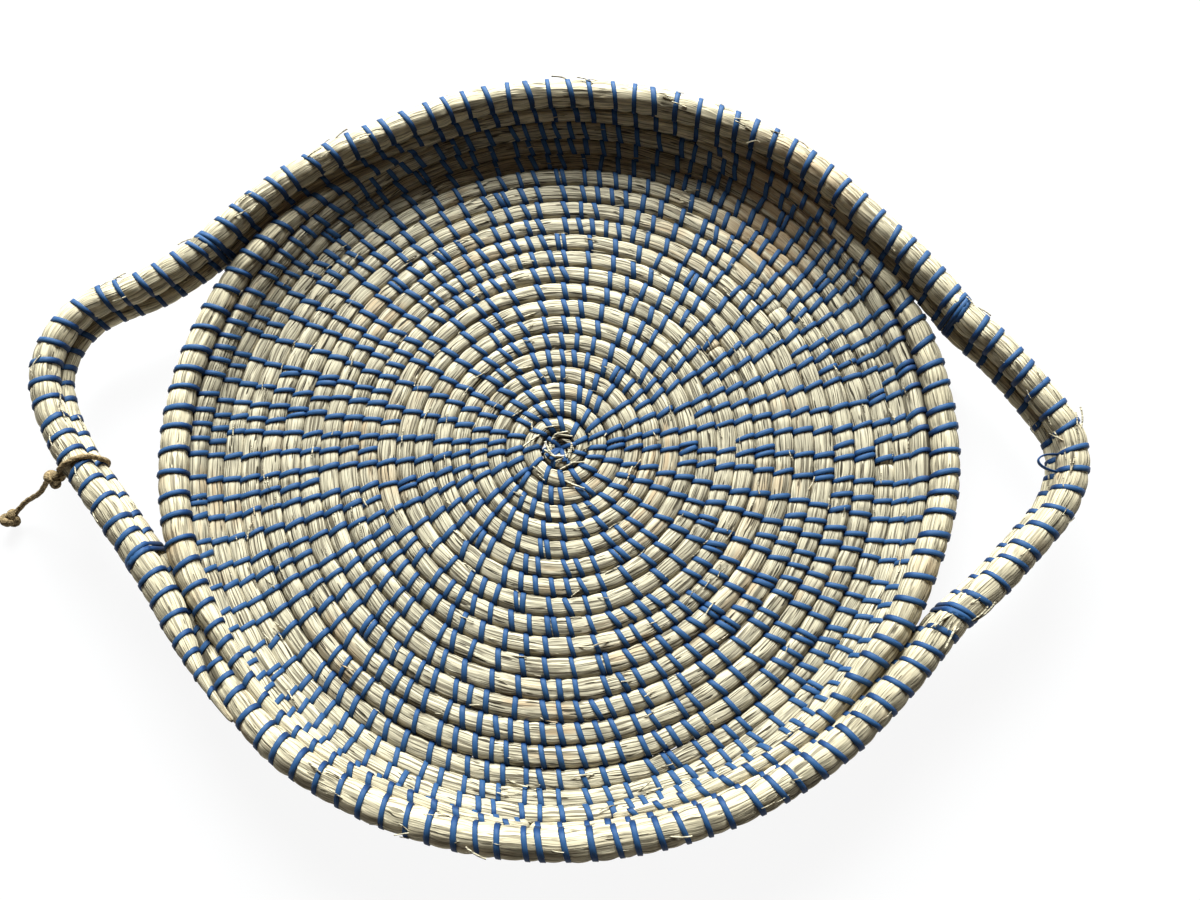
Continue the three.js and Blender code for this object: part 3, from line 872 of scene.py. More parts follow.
def straw_finish(name, pale, dark, warm, seed, lines_and_crack_shade=1.0):
    """Dry seagrass: long fibres along the bundle, pale and warm lengths, painted shade in dark cracks between
    straws and in the grooves between coils.
    """
    f = Finish(name)
    u, v, _ = f.split(f.node("ShaderNodeUVMap", how={"uv_map": "along"}))
    place = f.place()
    sway = f.noise(f.vector(u * 24, v * 60, seed), 1.0, 1.0)
    v_bent = v + (sway - 0.5) * 0.0042

    def streaks(per_metre_along, per_metre_round, offset, detail=1.0):
        return f.noise(f.vector(u * per_metre_along, v_bent * per_metre_round, seed + offset), 1.0, detail)

    straws = streaks(14, 430, 1.0)
    fibres = streaks(70, 2300, 2.0, 2.0)
    lines = streaks(30, 1250, 3.0)
    split = streaks(58, 700, 4.0)
    aged = streaks(9, 260, 5.0)
    blotch = f.noise(place, 26.0)
    broad = f.noise(place, 9.0)
    line = 1 - lines.smooth(0.39, 0.45)
    crack = (1 - split.smooth(0.31, 0.35)) * (1 - broad.smooth(0.62, 0.8) * 0.5)
    # A darker warm brown patch in streaks round one place on the wall
    patch = f.node("ShaderNodeVectorMath", place, WARM_PATCH_PLACE, how={"operation": "DISTANCE"}, out=1)
    warm_patch = (1 - patch.smooth(0.015, 0.055)) * aged.smooth(0.38, 0.55)
    # Painted shade in the grooves between coils: darker where the bundle turns towards the neighbours that press
    # on it, by the open field
    painted_groove_shade = 1 - f.attribute("open").smooth(0.08, 0.68)
    tone = shade(pale, 0.78)
    for share, colour in (
        (straws.smooth(0.4, 0.6), shade(pale, 1.16)),
        (fibres.smooth(0.52, 0.62) * 0.5, shade(pale, 1.34)),
        ((1 - fibres.smooth(0.40, 0.47)) * 0.6, shade(pale, 0.36)),
        (blotch.smooth(0.54, 0.7) * aged.smooth(0.45, 0.6) * 0.6, warm),
        (broad.smooth(0.5, 0.75) * 0.2, shade(pale, 0.7)),
        (line * (0.75 * lines_and_crack_shade), shade(dark, 1.4)),
        # Painted shade in the cracks between straws, scaled with the dark fibre lines by the straw finish's last
        # argument
        ((crack * (0.95 * lines_and_crack_shade)).clamp(), shade(dark, 0.7)),
        (warm_patch * 0.8, shade(warm, 0.9)),
        (painted_groove_shade * 0.88, shade(dark, 0.6)),
    ):
        tone = f.mix(share, tone, colour)
    relief = straws * 0.9 + fibres * 0.3 - crack * 0.6 - line * 0.4
    rough = (0.6 + 0.25 * fibres).clamp(0.4, 1.0)
    return f.surface(tone, rough, f.bump(relief, 0.9, 0.0012), 0.1)


def strip_finish(name, blue, seed):
    """Flat plastic strip: fine ribs along it, painted shade at its edges and a deeper blue painted shade where
    it dives into the grooves, and a painted highlight over the coil's top.
    """
    f = Finish(name)
    across, top, own = (f.attribute(field) for field in ("across", "top", "tone"))
    ribs = f.noise(f.vector(across * 7.0, top * 1.2, own * 40 + seed), 1.0, 3.0)
    scuff = f.noise(f.place(), 420.0)
    # deep gives dark ribs and the painted shade; bright gives pale ribs, scuffs and the painted highlight
    deep = shade(blue, 0.3)
    bright = tuple(min(1, c * k + lift) for c, k, lift in zip(blue, (3.2, 2.4, 1.6), (0.01, 0.01, 0.0)))
    base = blue
    for share, colour in (
        (own * 0.45, shade(blue, 0.66)),
        (ribs.smooth(0.5, 0.7) * 0.3, bright),
        ((1 - ribs.smooth(0.28, 0.45)) * 0.5, deep),
        # Painted highlight where the strip comes over the top of the coil
        (top.smooth(0.72, 1.0) * 0.3, bright),
        # Painted shade towards the strip's edges
        (abs(across).smooth(0.75, 1.0) * 0.45, deep),
        # Painted shade where the strip dives into the grooves between coils
        ((1 - abs(top).smooth(0.2, 0.9)) * 0.8, deep),
        (scuff.smooth(0.66, 0.8) * 0.25, bright),
    ):
        base = f.mix(share, base, colour)
    rough = (0.4 + 0.25 * scuff).clamp(0.2, 0.85)
    return f.surface(base, rough, f.bump(ribs, 0.5, 0.0003), 0.14)


def jute_finish(name, brown):
    """Rough brown twine: hairy fibres, darker and paler by fine noise, with darker clouds."""
    f = Finish(name)
    place = f.place()
    fibre = f.noise(f.node("ShaderNodeMapping", place, Scale=(900.0, 1500.0, 1200.0)), 1.0, 4.0)
    cloud = f.noise(place, 160.0)
    base = f.mix(fibre.smooth(0.35, 0.7), shade(brown, 0.42), shade(brown, 1.7))
    base = f.mix(cloud.smooth(0.5, 0.7) * 0.4, base, shade(brown, 0.6))
    return f.surface(base, 0.9, f.bump(fibre, 0.9, 0.0006), 0.1)


@functools.lru_cache(None)
def finish(kind):
    colours = bpy.context.scene.tray_colours
    pale, dark, warm = tuple(colours.straw), tuple(colours.straw_dark), tuple(colours.straw_warm)
    if kind == "straw":
        return straw_finish("Seagrass straw", pale, dark, warm, 3.0)
    if kind == "rim straw":
        # The rims' straw is painted paler as painted light, with fewer dark fibre lines and less painted shade
        # in its cracks
        painted_lighter = tuple(a * b for a, b in zip(pale, RIM_PAINTED_LIGHT))
        return straw_finish("Seagrass straw of the rims", painted_lighter, dark, warm, 4.0, 0.7)
    if kind == "strip":
        return strip_finish("Blue plastic strip", tuple(colours.strip), 5.0)
    return jute_finish("Jute twine", tuple(colours.jute))


def hand_over(obj, kind, *nodes):
    """Finishes a piece: its material, its body and the CAD nodes that it stands for."""
    obj.data.materials.clear()
    obj.data.materials.append(finish(kind))
    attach(obj, "root")
    if nodes:
        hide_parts(*nodes)
    return obj


# Geometry nodes


class Tree(Graph):
    """A Geometry Nodes tree with named inputs."""

    def __init__(self, name, *inputs):
        self.group = bpy.data.node_groups.new(name, "GeometryNodeTree")
        super().__init__(self.group)
        face = self.group.interface
        self.ids = {}
        for label, kind, default in (("Geometry", "Geometry", None), *inputs, ("Material", "Material", None)):
            socket = face.new_socket(name=label, in_out="INPUT", socket_type="NodeSocket" + kind)
            if default is not None:
                socket.default_value = default
            self.ids[label] = socket.identifier
        face.new_socket(name="Geometry", in_out="OUTPUT", socket_type="NodeSocketGeometry")
        self.start = self.nodes.new("NodeGroupInput")

    def value(self, label):
        return Link(self, self.start.outputs[label])

    def position(self):
        return self.split(self.node("GeometryNodeInputPosition"))

    def field(self, name):
        return self.node("GeometryNodeInputNamedAttribute", how={"data_type": "FLOAT_VECTOR"}, Name=name)

    def random(self, low, high):
        return self.node(
            "FunctionNodeRandomValue", None, None, low, high,
            how={"data_type": "FLOAT"}, out=1, Seed=self.value("Seed"),
        )

    def store(self, geometry, name, value, domain="POINT"):
        return self.node(
            "GeometryNodeStoreNamedAttribute", how={"data_type": "FLOAT", "domain": domain},
            Geometry=geometry, Name=name, Value=value,
        )

    def spread(self, instance, scale):
        """The instance on each point of the object, turned by the point's own attribute."""
        return self.node(
            "GeometryNodeInstanceOnPoints",
            Points=self.value("Geometry"), Instance=instance, Rotation=self.field("turn"), Scale=scale,
        )

    def result(self, geometry):
        real = self.node("GeometryNodeRealizeInstances", Geometry=geometry)
        painted = self.node("GeometryNodeSetMaterial", Geometry=real, Material=self.value("Material"))
        self.node("NodeGroupOutput", painted)


@functools.lru_cache(None)
def stitch_tree():
    """One closed turn of strip on each point, round a coil that lies along the point's Y."""
    t = Tree(
        "Stitches along a coil",
        ("Strip width", "Float", 0.0024),
        ("Strip thickness", "Float", 0.0008),
        ("Coil radius", "Float", 0.0047),
        ("Lean", "Float", 0.3),
        ("Squareness", "Float", 2.7),
        ("Seed", "Int", 1),
    )
    radius, power = t.value("Coil radius"), t.value("Squareness")
    ring = t.node("GeometryNodeCurvePrimitiveCircle", Resolution=14, Radius=radius)
    x, y, _ = t.position()
    reach = (abs(y / radius) ** power + abs(x / radius) ** power) ** (-1 / power)
    place = t.node("GeometryNodeInputPosition")
    squared_off = t.node("ShaderNodeVectorMath", place, how={"operation": "SCALE"}, Scale=reach)
    ring = t.node("GeometryNodeSetPosition", Geometry=ring, Position=squared_off)
    profile = t.node("GeometryNodeCurvePrimitiveCircle", Resolution=6, Radius=1.0)
    profile = t.node("GeometryNodeTransform", Geometry=profile, Rotation=(0.0, 0.0, math.pi / 6))
    x, y, _ = t.position()
    blunt = t.math("SIGN", y) * abs(y) ** 0.35
    profile = t.node("GeometryNodeSetPosition", Geometry=profile, Position=t.vector(x, blunt, 0.0))
    half_width = t.value("Strip width") * 0.5
    size = t.vector(t.value("Strip thickness") * 0.5, half_width, 1.0)
    profile = t.node("GeometryNodeTransform", Geometry=profile, Scale=size)
    band = t.node("GeometryNodeCurveToMesh", ring, profile)
    band = t.node("GeometryNodeTransform", Geometry=band, Rotation=(math.pi / 2, 0.0, 0.0))
    x, y, z = t.position()
    # Across and top are places on the band, for the strip finish's painted shade at the edges and low in the
    # grooves and its painted highlight on top
    band = t.store(band, "across", y / half_width)
    band = t.store(band, "top", z / radius)
    leaning = t.node("GeometryNodeSetPosition", Geometry=band, Offset=t.vector(0.0, x * t.value("Lean"), 0.0))
    stretch = t.vector(1.0, t.random(0.86, 1.14), 1.0)
    scale = t.node("ShaderNodeVectorMath", t.field("span"), stretch, how={"operation": "MULTIPLY"})
    spread = t.store(t.spread(leaning, scale), "tone", t.random(0.0, 1.0), "INSTANCE")
    t.result(t.node("GeometryNodeSetShadeSmooth", Geometry=spread))
    return t


@functools.lru_cache(None)
def wisp_tree():
    """A short bent straw on each point."""
    t = Tree("Loose straws", ("Length", "Float", 0.011), ("Thickness", "Float", 0.00045), ("Seed", "Int", 4))
    length = t.value("Length")
    middle = t.vector(length * 0.06, length * 0.5, length * 0.22)
    end = t.vector(0.0, length, length * 0.16)
    line = t.node("GeometryNodeCurveQuadraticBezier", Resolution=6, Start=(0, 0, 0), Middle=middle, End=end)
    profile = t.node("GeometryNodeCurvePrimitiveCircle", Resolution=4, Radius=t.value("Thickness"))
    taper = 1 - t.node("GeometryNodeSplineParameter") * 0.75
    line = t.node("GeometryNodeSetCurveRadius", Curve=line, Radius=taper)
    blade = t.node("GeometryNodeCurveToMesh", **{"Curve": line, "Profile Curve": profile, "Fill Caps": True})
    t.result(t.spread(blade, t.random(0.45, 1.25)))
    return t


def points_object(name, places, **fields):
    """A cloud of points, in millimetres, with vectors on each for a tree to read."""
    places = (np.asarray(places) + SHIFT) * MM
    mesh = bpy.data.meshes.new(name)
    mesh.vertices.add(len(places))
    mesh.vertices.foreach_set("co", places.astype(np.float32).ravel())
    for label, values in fields.items():
        layer = mesh.attributes.new(label, "FLOAT_VECTOR", "POINT")
        layer.data.foreach_set("vector", np.asarray(values, dtype=np.float32).ravel())
    return linked(name, mesh)


def grow(obj, tree, **inputs):
    """Runs a tree on an object and leaves its result as a plain mesh."""
    modifier = obj.modifiers.new("Grow", "NODES")
    modifier.node_group = tree.group
    for label, value in inputs.items():
        modifier[tree.ids[label.replace("_", " ")]] = value
    graph = bpy.context.evaluated_depsgraph_get()
    graph.update()
    made = bpy.data.meshes.new_from_object(obj.evaluated_get(graph))
    made.name = obj.name
    old = obj.data
    obj.modifiers.remove(modifier)
    obj.data = made
    bpy.data.meshes.remove(old)


def euler_from(outward, along):
    """Euler angles that take X to outward, Y along and Z to the third direction."""
    turns = []
    for o, a in zip(outward, along):
        x, y = Vector(o), Vector(a)
        z = x.cross(y).normalized()
        x = y.cross(z).normalized()
        turns.append(Matrix((x, y, z)).transposed().to_euler("XYZ")[:])
    return np.array(turns)


def true_along(station, params):
    """Unit directions of travel at places on a route, climbs included."""
    step = 1e-4
    ahead = station(params + step)[0] - station(params - step)[0]
    return ahead / np.linalg.norm(ahead, axis=1, keepdims=True)


def stitches_on(name, station, params, seed, widen=1.0, tilt=0.0, power=COIL_SQUARE):
    """Stitches round a bundle at the given places; tilt turns their square to the neighbours."""
    rng = np.random.default_rng(seed)
    sizes = bpy.context.scene.tray_sizes
    centre, outward, _, radius = station(params)
    along = true_along(station, params)
    tilt = np.broadcast_to(tilt, len(params))[:, None]
    outward = outward * np.cos(tilt) + UP * np.sin(tilt)
    twist = rng.normal(0, STITCH_YAW, len(params))[:, None]
    turned = along * np.cos(twist) + outward * np.sin(twist)
    turns = euler_from(outward * np.cos(twist) - along * np.sin(twist), turned)
    size = (radius + STITCH_PROUD) / WALL_COIL_HALF_WIDTH
    obj = points_object(name, centre, turn=turns, span=np.stack([size, np.ones_like(size), size], -1))
    grow(
        obj, stitch_tree(), Strip_width=sizes.strip_width * widen, Strip_thickness=sizes.strip_thickness,
        Coil_radius=WALL_COIL_HALF_WIDTH * MM, Lean=sizes.stitch_lean, Squareness=power, Seed=seed,
        Material=finish("strip"),
    )
    co = numbers(obj.data.vertices, "co", 3)
    z = co[2::3] / MM
    pressed = STITCH_FOOT * np.exp(np.minimum(z - STITCH_FOOT, 0) / STITCH_FOOT)
    co[2::3] = np.where(z < STITCH_FOOT, pressed, z) * MM
    obj.data.vertices.foreach_set("co", co)
    obj.data.update()
    return hand_over(obj, "strip")


# Properties


def length_property(name, description, default):
    return FloatProperty(name=name, description=description, default=default, unit="LENGTH")


def colour_property(name, description, *default):
    return FloatVectorProperty(name=name, description=description, subtype="COLOR", size=3, default=default)


class TraySizes(bpy.types.PropertyGroup):
    straw_step: length_property("Straw step", "Spacing of the bundle's rings along it", 0.0014)
    strip_width: length_property("Strip width", "Width of the plastic strip", 0.00275)
    strip_thickness: length_property("Strip thickness", "Thickness of the plastic strip", 0.001)
    stitch_lean: FloatProperty(
        name="Stitch lean", description="How far a stitch runs along the coil for each unit across it",
        default=0.3,
    )
    wisps: IntProperty(name="Loose straws", description="Number of straw ends that stand off", default=420)


class TrayColours(bpy.types.PropertyGroup):
    straw: colour_property("Straw", "Pale dry seagrass", 0.51, 0.447, 0.315)
    # The dark straw colours the dark fibre lines, and the painted shade in the cracks between straws and in the
    # grooves between coils
    straw_dark: colour_property("Straw, dark", "Cracks and shaded fibres", 0.055, 0.042, 0.026)
    straw_warm: colour_property("Straw, warm", "Browned lengths", 0.42, 0.28, 0.15)
    strip: colour_property("Strip", "Blue plastic strip", 0.0105, 0.0445, 0.138)
    jute: colour_property("Jute", "Twine", 0.25, 0.178, 0.092)


# Operators


class Step:
    """A step that builds with the tray's sizes."""

    def execute(self, context):
        self.build(context.scene.tray_sizes)
        return {"FINISHED"}


class TRAY_OT_camera(Step, bpy.types.Operator):
    """Sets the photograph's camera"""

    bl_idname = "tray.camera"
    bl_label = "Camera"

    def build(self, sizes):
        data = bpy.data.cameras.new("View")
        data.sensor_width = SENSOR_WIDTH
        data.lens = FOCAL_PIXELS / IMAGE_WIDTH * SENSOR_WIDTH
        data.clip_start = 0.01
        camera = linked("View", data)
        right, down, ahead = Vector(CAMERA_RIGHT), Vector(CAMERA_DOWN), Vector(CAMERA_AHEAD)
        turn = Matrix((right, -down, -ahead)).transposed().to_4x4()
        camera.matrix_world = Matrix.Translation(Vector(CAMERA_PLACE) * MM) @ turn
        bpy.context.scene.camera = camera


class TRAY_OT_string(Step, bpy.types.Operator):
    """Ties the jute string round the left handle, with its knot and tail"""

    bl_idname = "tray.string"
    bl_label = "String"

    def build(self, sizes):
        grown = LASHING_CLEARANCE + STRING_RADIUS
        section, centre, outward, along, radius = handle_section(place_at_angle(STRING_ANGLE), grown, 48)
        knot_centre = on_handle((radius + SEAT_GAP + STRING_KNOT_RADIUS, centre[2]), centre, outward)
        clear = STRING_KNOT_RADIUS + STRING_RADIUS * 0.6
        route = [on_handle(p, centre, outward) for p in section]
        route = np.array([p for p in route if np.linalg.norm(p - knot_centre) > clear])
        wander = np.sin(np.linspace(0, math.pi, len(route)))
        wound = route + np.outer(STRING_WANDER * wander, along)
        twine("jute_loop", resample(spline(wound, per_span=4), 0.7), "string_loop")
        self.knot("jute_knot", knot_centre, 2.75, 2.15, "string_knot", (0.5, 0.3, 0.2))
        self.tail(knot_centre)

    def knot(self, name, centre, size, radius, node, turn):
        """A pulled-tight overhand knot: a closed three-lobed run of twine."""
        t = np.linspace(0, TAU, 121)[:-1]
        x, y = np.sin(t) + 1.5 * np.sin(2 * t), np.cos(t) - 1.5 * np.cos(2 * t)
        points = np.stack([x, y, -1.25 * np.sin(3 * t)], -1) @ np.array(Euler(turn).to_matrix()).T
        points = points * (size / KNOT_REACH) + centre
        rings = []
        phi = np.arange(KNOT_SIDES) / KNOT_SIDES * TAU
        for k, (point, before, after) in enumerate(zip(points, np.roll(points, 1, 0), np.roll(points, -1, 0))):
            along = (after - before) / np.linalg.norm(after - before)
            side = centre - point
            side = side - along * (side @ along)
            side /= np.linalg.norm(side)
            lobes = radius * (0.84 + 0.2 * np.abs(np.sin(1.5 * phi + k * 0.13)))
            across = np.cross(side, along)
            rings.append(point + np.outer(np.cos(phi) * lobes, side) + np.outer(np.sin(phi) * lobes, across))
        obj = new_object(name, np.concatenate(rings), ring_faces(len(rings), KNOT_SIDES, closed=True))
        return hand_over(obj, "jute", node)

    def tail(self, knot_centre):
        tail, end = np.array(STRING_TAIL), np.array(STRING_TAIL_END)

        def meet(middle, reach, towards):
            away = towards - middle
            return middle + away / np.linalg.norm(away) * (reach + SEAT_GAP)

        first = meet(knot_centre, STRING_KNOT_RADIUS - STRING_TAIL_DEPTHS[0], tail[0])
        last = meet(end, STRING_END_KNOT_RADIUS - STRING_TAIL_DEPTHS[1], tail[-1])
        route = resample(spline([first, *tail, last]), 0.8)
        obj = twine("jute_tail", route, "string_tail")
        end_knot = self.knot("jute_end_knot", end, 2.55, 2.35, "string_end_knot", (0.9, 0.2, 1.1))


class TRAY_OT_floor(Step, bpy.types.Operator):
    """Coils the floor in three lengths of straw bundle"""

    bl_idname = "tray.floor"
    bl_label = "Floor coil"

    def build(self, sizes):
        step = sizes.straw_step / MM
        run = 0.0
        for name, start, end in (
            ("floor_straw_inner", 0.0, 9.604),
            ("floor_straw_middle", 9.6, 13.604),
            ("floor_straw_outer", 13.6, FLOOR_TURNS),
        ):
            params = even_params(coil_straw, start, end, step)
            obj = straw_bundle(
                name, coil_straw, params, coil_stitches(), 21, coil_contacts(params), start=run, tangle=TANGLE
            )
            run += step * (len(params) - 1)
            hand_over(obj, "straw", "floor_coil")


class TRAY_OT_start(Step, bpy.types.Operator):
    """Folds the start of the bundle into the middle"""

    bl_idname = "tray.start"
    bl_label = "Tucked start"

    def build(self, sizes):
        rng = np.random.default_rng(31)
        least, most = START_REACH
        straws = []
        for k in range(START_STRAWS):
            angle = math.radians(START_STRAW_TURN * k + rng.uniform(-6, 6))
            reach = rng.uniform(least, most)
            high = mix(*START_HEIGHT, (reach - least) / (most - least))
            inner = angle + rng.uniform(0.5, 1.3)
            far = angle + rng.uniform(1.3, 2.3)
            points = [
                self.at(angle, reach, high),
                self.at(inner, reach * 0.72, high - 0.2),
                self.at(far, START_DIVE, rng.uniform(2.2, 4.2)),
            ]
            straws.append(self.straw(points, 0.45, rng.uniform(0.7, 1.05)))
        pad = self.straw([(x, 0, 0.8) for x in (-PAD_REACH, 0, PAD_REACH)], PAD_RADIUS, PAD_RADIUS)
        pad[..., 2] = PAD_FOOT + (pad[..., 2] + PAD_RADIUS - 0.8) * PAD_FLATNESS
        obj = tubes_object("start_straw", [*straws, pad])
        # The open field falls towards the bottom of the tucked start, so the straw finish paints shade low in
        # the middle
        set_fields(obj, open=clamp01((set_plan_uv(obj)[:, 2] / MM - 3.0) / 7.0))
        hand_over(obj, "straw", "start_tuck")

        strips = []
        for degrees, far_degrees, reach in START_STRIPS:
            near, far = math.radians(degrees), math.radians(far_degrees)
            points = [self.at(near, *rest) for rest in ((reach, 7.6), (reach * 0.6, 7.4), (1.2, 5.2))]
            points.append(self.at(far, START_DIVE, 2.6))
            strips.append(strap(points, 0.5, 8, 0.5, sizes.strip_width / MM * 0.45))
        strip_piece(tubes_object("start_strips", strips), across=0.4, top=0.7, tone=0.5)

    def at(self, angle, reach, height):
        return math.cos(angle) * reach, math.sin(angle) * reach, height

    def straw(self, points, first, last):
        """Rings of a straw that goes from one radius to another."""
        route = resample(spline(points), 0.6)
        return tube_rings(route, np.linspace(first, last, len(route)), 10)


class TRAY_OT_wall(Step, bpy.types.Operator):
    """Coils the low flared wall"""

    bl_idname = "tray.wall"
    bl_label = "Wall coil"

    def build(self, sizes):
        station = functools.partial(coil_straw, more=0.08)
        params = even_params(station, FLOOR_TURNS - 0.002, WALL_END_TURN, sizes.straw_step / MM)
        obj = straw_bundle("wall_straw", station, params, coil_stitches(), 22, coil_contacts(params), start=9000)
        hand_over(obj, "straw", "wall_coil")


class TRAY_OT_top(Step, bpy.types.Operator):
    """Runs the second course and the rim round both handles"""

    bl_idname = "tray.top"
    bl_label = "Second course and rim"

    def build(self, sizes):
        def station(place):
            centre, outward, along, radius = top_station(place)
            return centre, outward, along, radius + 0.25

        params = even_params(station, 0.0, TAPER_END, sizes.straw_step / MM)
        below = np.full_like(params, -COURSE_ANGLE)
        contacts = np.stack([below, np.where(params < 0.88, math.pi - COURSE_ANGLE, below)])
        obj = straw_bundle(
            "rim_straw", station, params, top_stitches(), 23, contacts, sides=36, start=13000, power=RIM_SQUARE
        )
        hand_over(obj, "rim straw", "top_coil")


class TRAY_OT_side_rims(Step, bpy.types.Operator):
    """Lays the thick side rims on the wall under each handle"""

    bl_idname = "tray.side_rims"
    bl_label = "Side rims"

    def build(self, sizes):
        for seed, (side, rim) in enumerate(SIDE_RIMS.items(), SIDE_RIM_SEED):
            low, high = rim["span"]
            station = functools.partial(side_rim_straw, **rim)
            params = even_params(station, low - SIDE_RIM_TAIL, high + SIDE_RIM_TAIL, sizes.straw_step / MM)
            lean = np.radians(np.interp(params, *side_rim_leans(**rim)))
            obj = straw_bundle(
                f"side_rim_straw_{side}", station, params, side_stitches(rim["span"], seed), seed,
                lean[None, :] + math.pi, sides=34, start=seed * 500, power=RIM_SQUARE,
            )
            hand_over(obj, "rim straw", f"side_rim_{side}")


class TRAY_OT_stitches(Step, bpy.types.Operator):
    """Stitches every coil with the blue strip"""

    bl_idname = "tray.stitches"
    bl_label = "Stitches"

    def build(self, sizes):
        turns = coil_stitches()
        for name, low, high, seed in (
            ("floor_stitches_inner", 0.0, 11.0, 51),
            ("floor_stitches_outer", 11.0, FLOOR_TURNS, 52),
            ("wall_stitches", FLOOR_TURNS, WALL_END_TURN, 53),
        ):
            chosen = turns[(turns >= low) & (turns < high)]
            stitches_on(name, coil_straw, chosen, seed, tilt=coil_tilt(chosen))
        stitches_on("rim_stitches", top_station, top_stitches(), 54, RIM_STRIP_WIDER, power=RIM_SQUARE)
        for seed, (side, rim) in enumerate(SIDE_RIMS.items(), SIDE_RIM_SEED):
            station = functools.partial(side_rim_straw, **rim)
            offsets = side_stitches(rim["span"], seed)
            name = f"side_rim_stitches_{side}"
            stitches_on(name, station, offsets, seed + 20, RIM_STRIP_WIDER, power=RIM_SQUARE)


class TRAY_OT_lashings(Step, bpy.types.Operator):
    """Binds the handle roots with close turns of strip"""

    bl_idname = "tray.lashings"
    bl_label = "Root lashings"

    def build(self, sizes):
        width = sizes.strip_width / MM
        corners = len(LASHING_SECTION)
        for name, degrees in LASHING_ANGLES.items():
            rng = np.random.default_rng(int(abs(degrees) * 10))
            vertices, faces, lifts, tones = [], [], [], []
            for turn, skew in ((-0.5, 0.31), (0.5, 0.26)):
                place = place_at_angle(degrees) + turn * width / outline_length()
                tones += [rng.uniform()] * (LASHING_STEPS * corners)
                faces.append(ring_faces(LASHING_STEPS, corners, closed=True)[:, ::-1] + len(vertices))
                inner, centre, outward, along, _ = handle_section(place, 0.25, LASHING_STEPS)
                shoulder, crown = (handle_section(place, grown, LASHING_STEPS)[0] for grown in (0.85, 1.05))
                half = along * width / 2
                for points in zip(inner, shoulder, crown):
                    out, height = points[0]
                    a, b, c = (on_handle(p, centre, outward) + along * (skew * out) for p in points)
                    vertices += [a - half, a + half, b + half * 0.92, c, b - half * 0.92]
                    # Lower parts of the lashing get a smaller top, so the strip finish paints them darker with
                    # painted shade
                    lifts += [(height - centre[2] + 6) / 12] * corners
            obj = new_object(name + "_strip", vertices, np.concatenate(faces))
            across = np.tile(LASHING_SECTION, len(vertices) // corners)
            strip_piece(obj, name, across=across, top=lifts, tone=tones)


class TRAY_OT_strip_loop(Step, bpy.types.Operator):
    """Leaves the loose loop of strip inside the right handle's bend"""

    bl_idname = "tray.strip_loop"
    bl_label = "Loose strip loop"

    def build(self, sizes):
        place = place_at_angle(STRIP_LOOP_ANGLE) + 1
        r, stem, foot = STRIP_LOOP_RADIUS * 1.2, 2.6, -1.4

        def off(distance, out):
            centre, outward, _, radius = top_station(np.array([place + distance / outline_length()]))
            return centre[0] - outward[0] * (float(radius[0]) + STRIP_LOOP_STAND_OFF + out)

        bends = [math.radians(degrees) for degrees in range(30, 180, 30)]
        bow = [off(-r * math.cos(angle), stem + 1.2 * r * math.sin(angle)) for angle in bends]
        points = [off(-r, foot), off(-r, stem), *bow, off(r, stem), off(r, foot)]
        obj = tubes_object("strip_loop_blue", [strap(points, 0.6, 10, 1.4, 0.45)])
        strip_piece(obj, "strip_loop", across=0.0, top=0.8, tone=0.2)


class TRAY_OT_wisps(Step, bpy.types.Operator):
    """Scatters short straw ends that stand off the bundles"""

    bl_idname = "tray.wisps"
    bl_label = "Loose straws"

    def build(self, sizes):
        rng = np.random.default_rng(61)
        inner = np.sqrt(rng.uniform(0.02, 1.0, sizes.wisps)) * (WALL_END_TURN - 0.2)
        straws = self.plant(rng, coil_station, np.sort(inner), 0.22, 0.0)
        straws += self.plant(rng, top_station, rng.uniform(0.02, TOP_TURNS - 0.05, sizes.wisps // 3), 0.22, 0.0)
        self.straws("loose_straws", straws, 0.0085, 0.00033)
        straws = []
        for degrees, spread, number in TUFTS:
            where = place_at_angle(degrees) + 1 + rng.normal(0, spread, number) / outline_length()
            straws += self.plant(rng, top_station, where, 0.3, 0.02)
        straws += self.plant(rng, coil_station, rng.uniform(0.2, 2.4, 12), 0.5, 0.03)
        self.straws("frayed_straws", straws, 0.0115, 0.0005)

    def plant(self, rng, station, params, spread, lift):
        """Starts of straws on the visible side of a bundle, each with its turn."""
        straws = []
        centre, outward, _, radius = station(params)
        for c, o, a, r in zip(centre, outward, true_along(station, params), radius):
            angle = rng.uniform(0.15, 0.85) * math.pi
            normal = o * math.cos(angle) + UP * math.sin(angle)
            yaw = rng.normal(0, spread) + (math.pi if rng.uniform() < 0.4 else 0)
            ahead = a * math.cos(yaw) + np.cross(a, normal) * math.sin(yaw)
            rise = rng.uniform(-0.03, 0.10) + lift
            ahead = ahead * math.cos(rise) + normal * math.sin(rise)
            x = np.cross(ahead, normal)
            straws.append((c + normal * (r + 0.05), euler_from([x / np.linalg.norm(x)], [ahead])[0]))
        return straws

    def straws(self, name, straws, length, thickness):
        places, turns = zip(*straws)
        obj = points_object(name, places, turn=turns)
        grow(obj, wisp_tree(), Length=length, Thickness=thickness, Seed=4, Material=finish("straw"))
        set_plan_uv(obj)
        set_fields(obj, open=1.0)
        hand_over(obj, "straw")


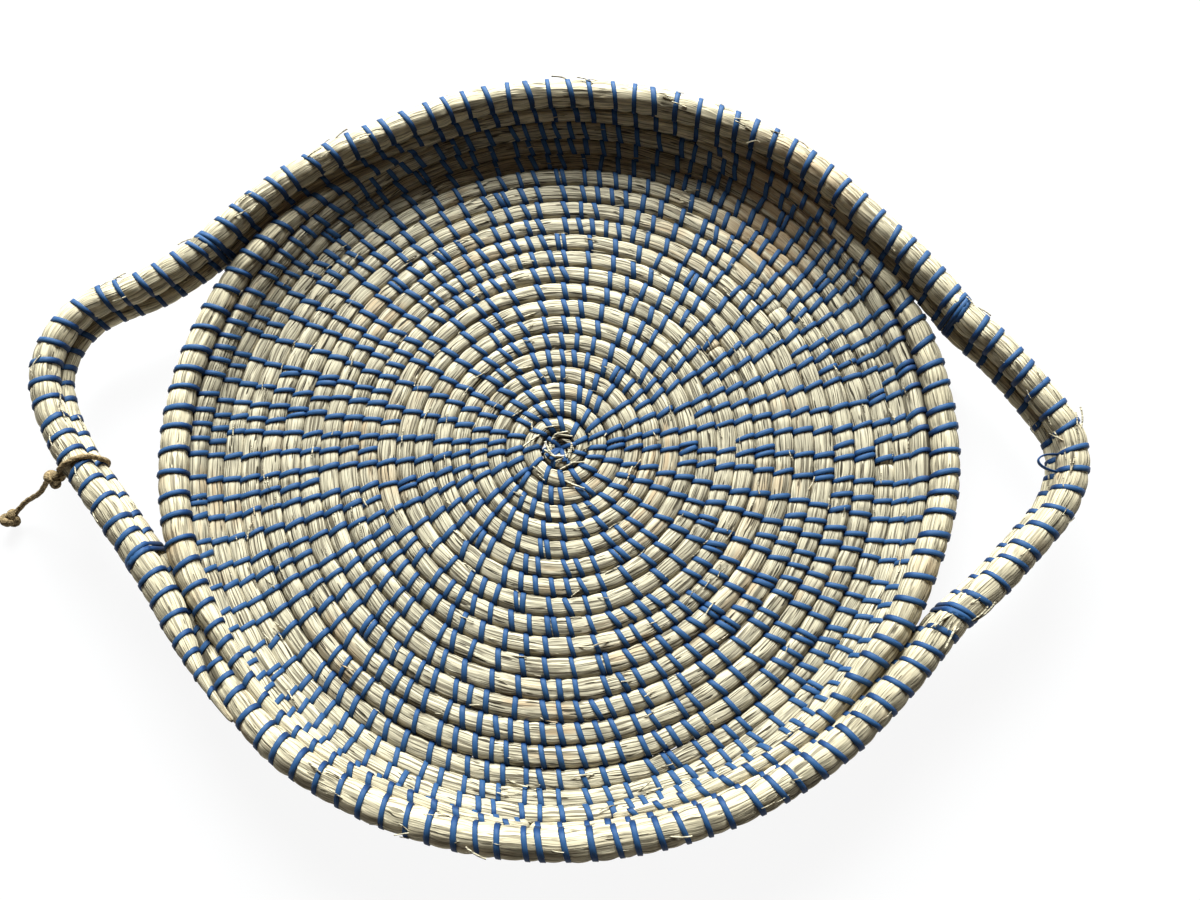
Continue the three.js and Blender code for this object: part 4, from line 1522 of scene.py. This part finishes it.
class TRAY_OT_stage(Step, bpy.types.Operator):
    """Sets the pale floor, the lamp and the plain light all round"""

    bl_idname = "tray.stage"
    bl_label = "Stage"

    def build(self, sizes):
        scene = bpy.context.scene
        scene.view_settings.view_transform = "Standard"
        mesh = bpy.data.meshes.new("floor")
        mesh.from_pydata([(-20, -20, 0), (20, -20, 0), (20, 20, 0), (-20, 20, 0)], [], [(0, 1, 2, 3)])
        floor = linked("floor", mesh)
        f = Finish("Pale floor")
        paint = f.node("ShaderNodeBsdfDiffuse", (0.9, 0.9, 0.9, 1.0))
        glow = f.node("ShaderNodeEmission", WHITE, 1.0)
        both = f.node("ShaderNodeMixShader", f.seen() * FLOOR_GLOW, paint, glow)
        f.node("ShaderNodeOutputMaterial", both)
        mesh.materials.append(f.material)

        scene.world = bpy.data.worlds.new("Room")
        scene.world.use_nodes = True
        room = Graph(scene.world.node_tree)
        soft = room.node("ShaderNodeBackground", ROOM_COLOUR, ROOM_STRENGTH)
        plain = room.node("ShaderNodeBackground", WHITE, 1.0)
        room.node("ShaderNodeOutputWorld", room.node("ShaderNodeMixShader", room.seen(), soft, plain))

        data = bpy.data.lights.new("Window", "AREA")
        data.shape = "RECTANGLE"
        data.size, data.size_y = LAMP_SIZE
        data.energy = LAMP_POWER
        data.color = LAMP_COLOUR
        lamp = linked("Window", data)
        lamp.location = LAMP_PLACE
        lamp.rotation_euler = lamp.location.to_track_quat("Z", "Y").to_euler()


class TRAY_PT_panel(bpy.types.Panel):
    """Lists the tray's pieces"""

    bl_label = "Coiled tray"
    bl_idname = "TRAY_PT_panel"
    bl_space_type = "VIEW_3D"
    bl_region_type = "UI"
    bl_category = "Tray"

    def draw(self, context):
        layout = self.layout
        for group in (context.scene.tray_sizes, context.scene.tray_colours):
            for name in group.__annotations__:
                layout.prop(group, name)
        for operator in OPERATORS:
            layout.operator(operator.bl_idname)


OPERATORS = (
    TRAY_OT_camera,
    TRAY_OT_string,
    TRAY_OT_floor,
    TRAY_OT_start,
    TRAY_OT_wall,
    TRAY_OT_top,
    TRAY_OT_side_rims,
    TRAY_OT_stitches,
    TRAY_OT_lashings,
    TRAY_OT_strip_loop,
    TRAY_OT_wisps,
    TRAY_OT_stage,
)
CLASSES = (TraySizes, TrayColours, *OPERATORS, TRAY_PT_panel)


def register():
    for cls in CLASSES:
        bpy.utils.register_class(cls)
    bpy.types.Scene.tray_sizes = PointerProperty(type=TraySizes)
    bpy.types.Scene.tray_colours = PointerProperty(type=TrayColours)


def unregister():
    del bpy.types.Scene.tray_colours
    del bpy.types.Scene.tray_sizes
    for cls in reversed(CLASSES):
        bpy.utils.unregister_class(cls)


def main():
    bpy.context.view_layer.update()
    register()
    for operator in OPERATORS:
        group, name = operator.bl_idname.split(".")
        getattr(getattr(bpy.ops, group), name)()


if __name__ == "__main__":
    main()
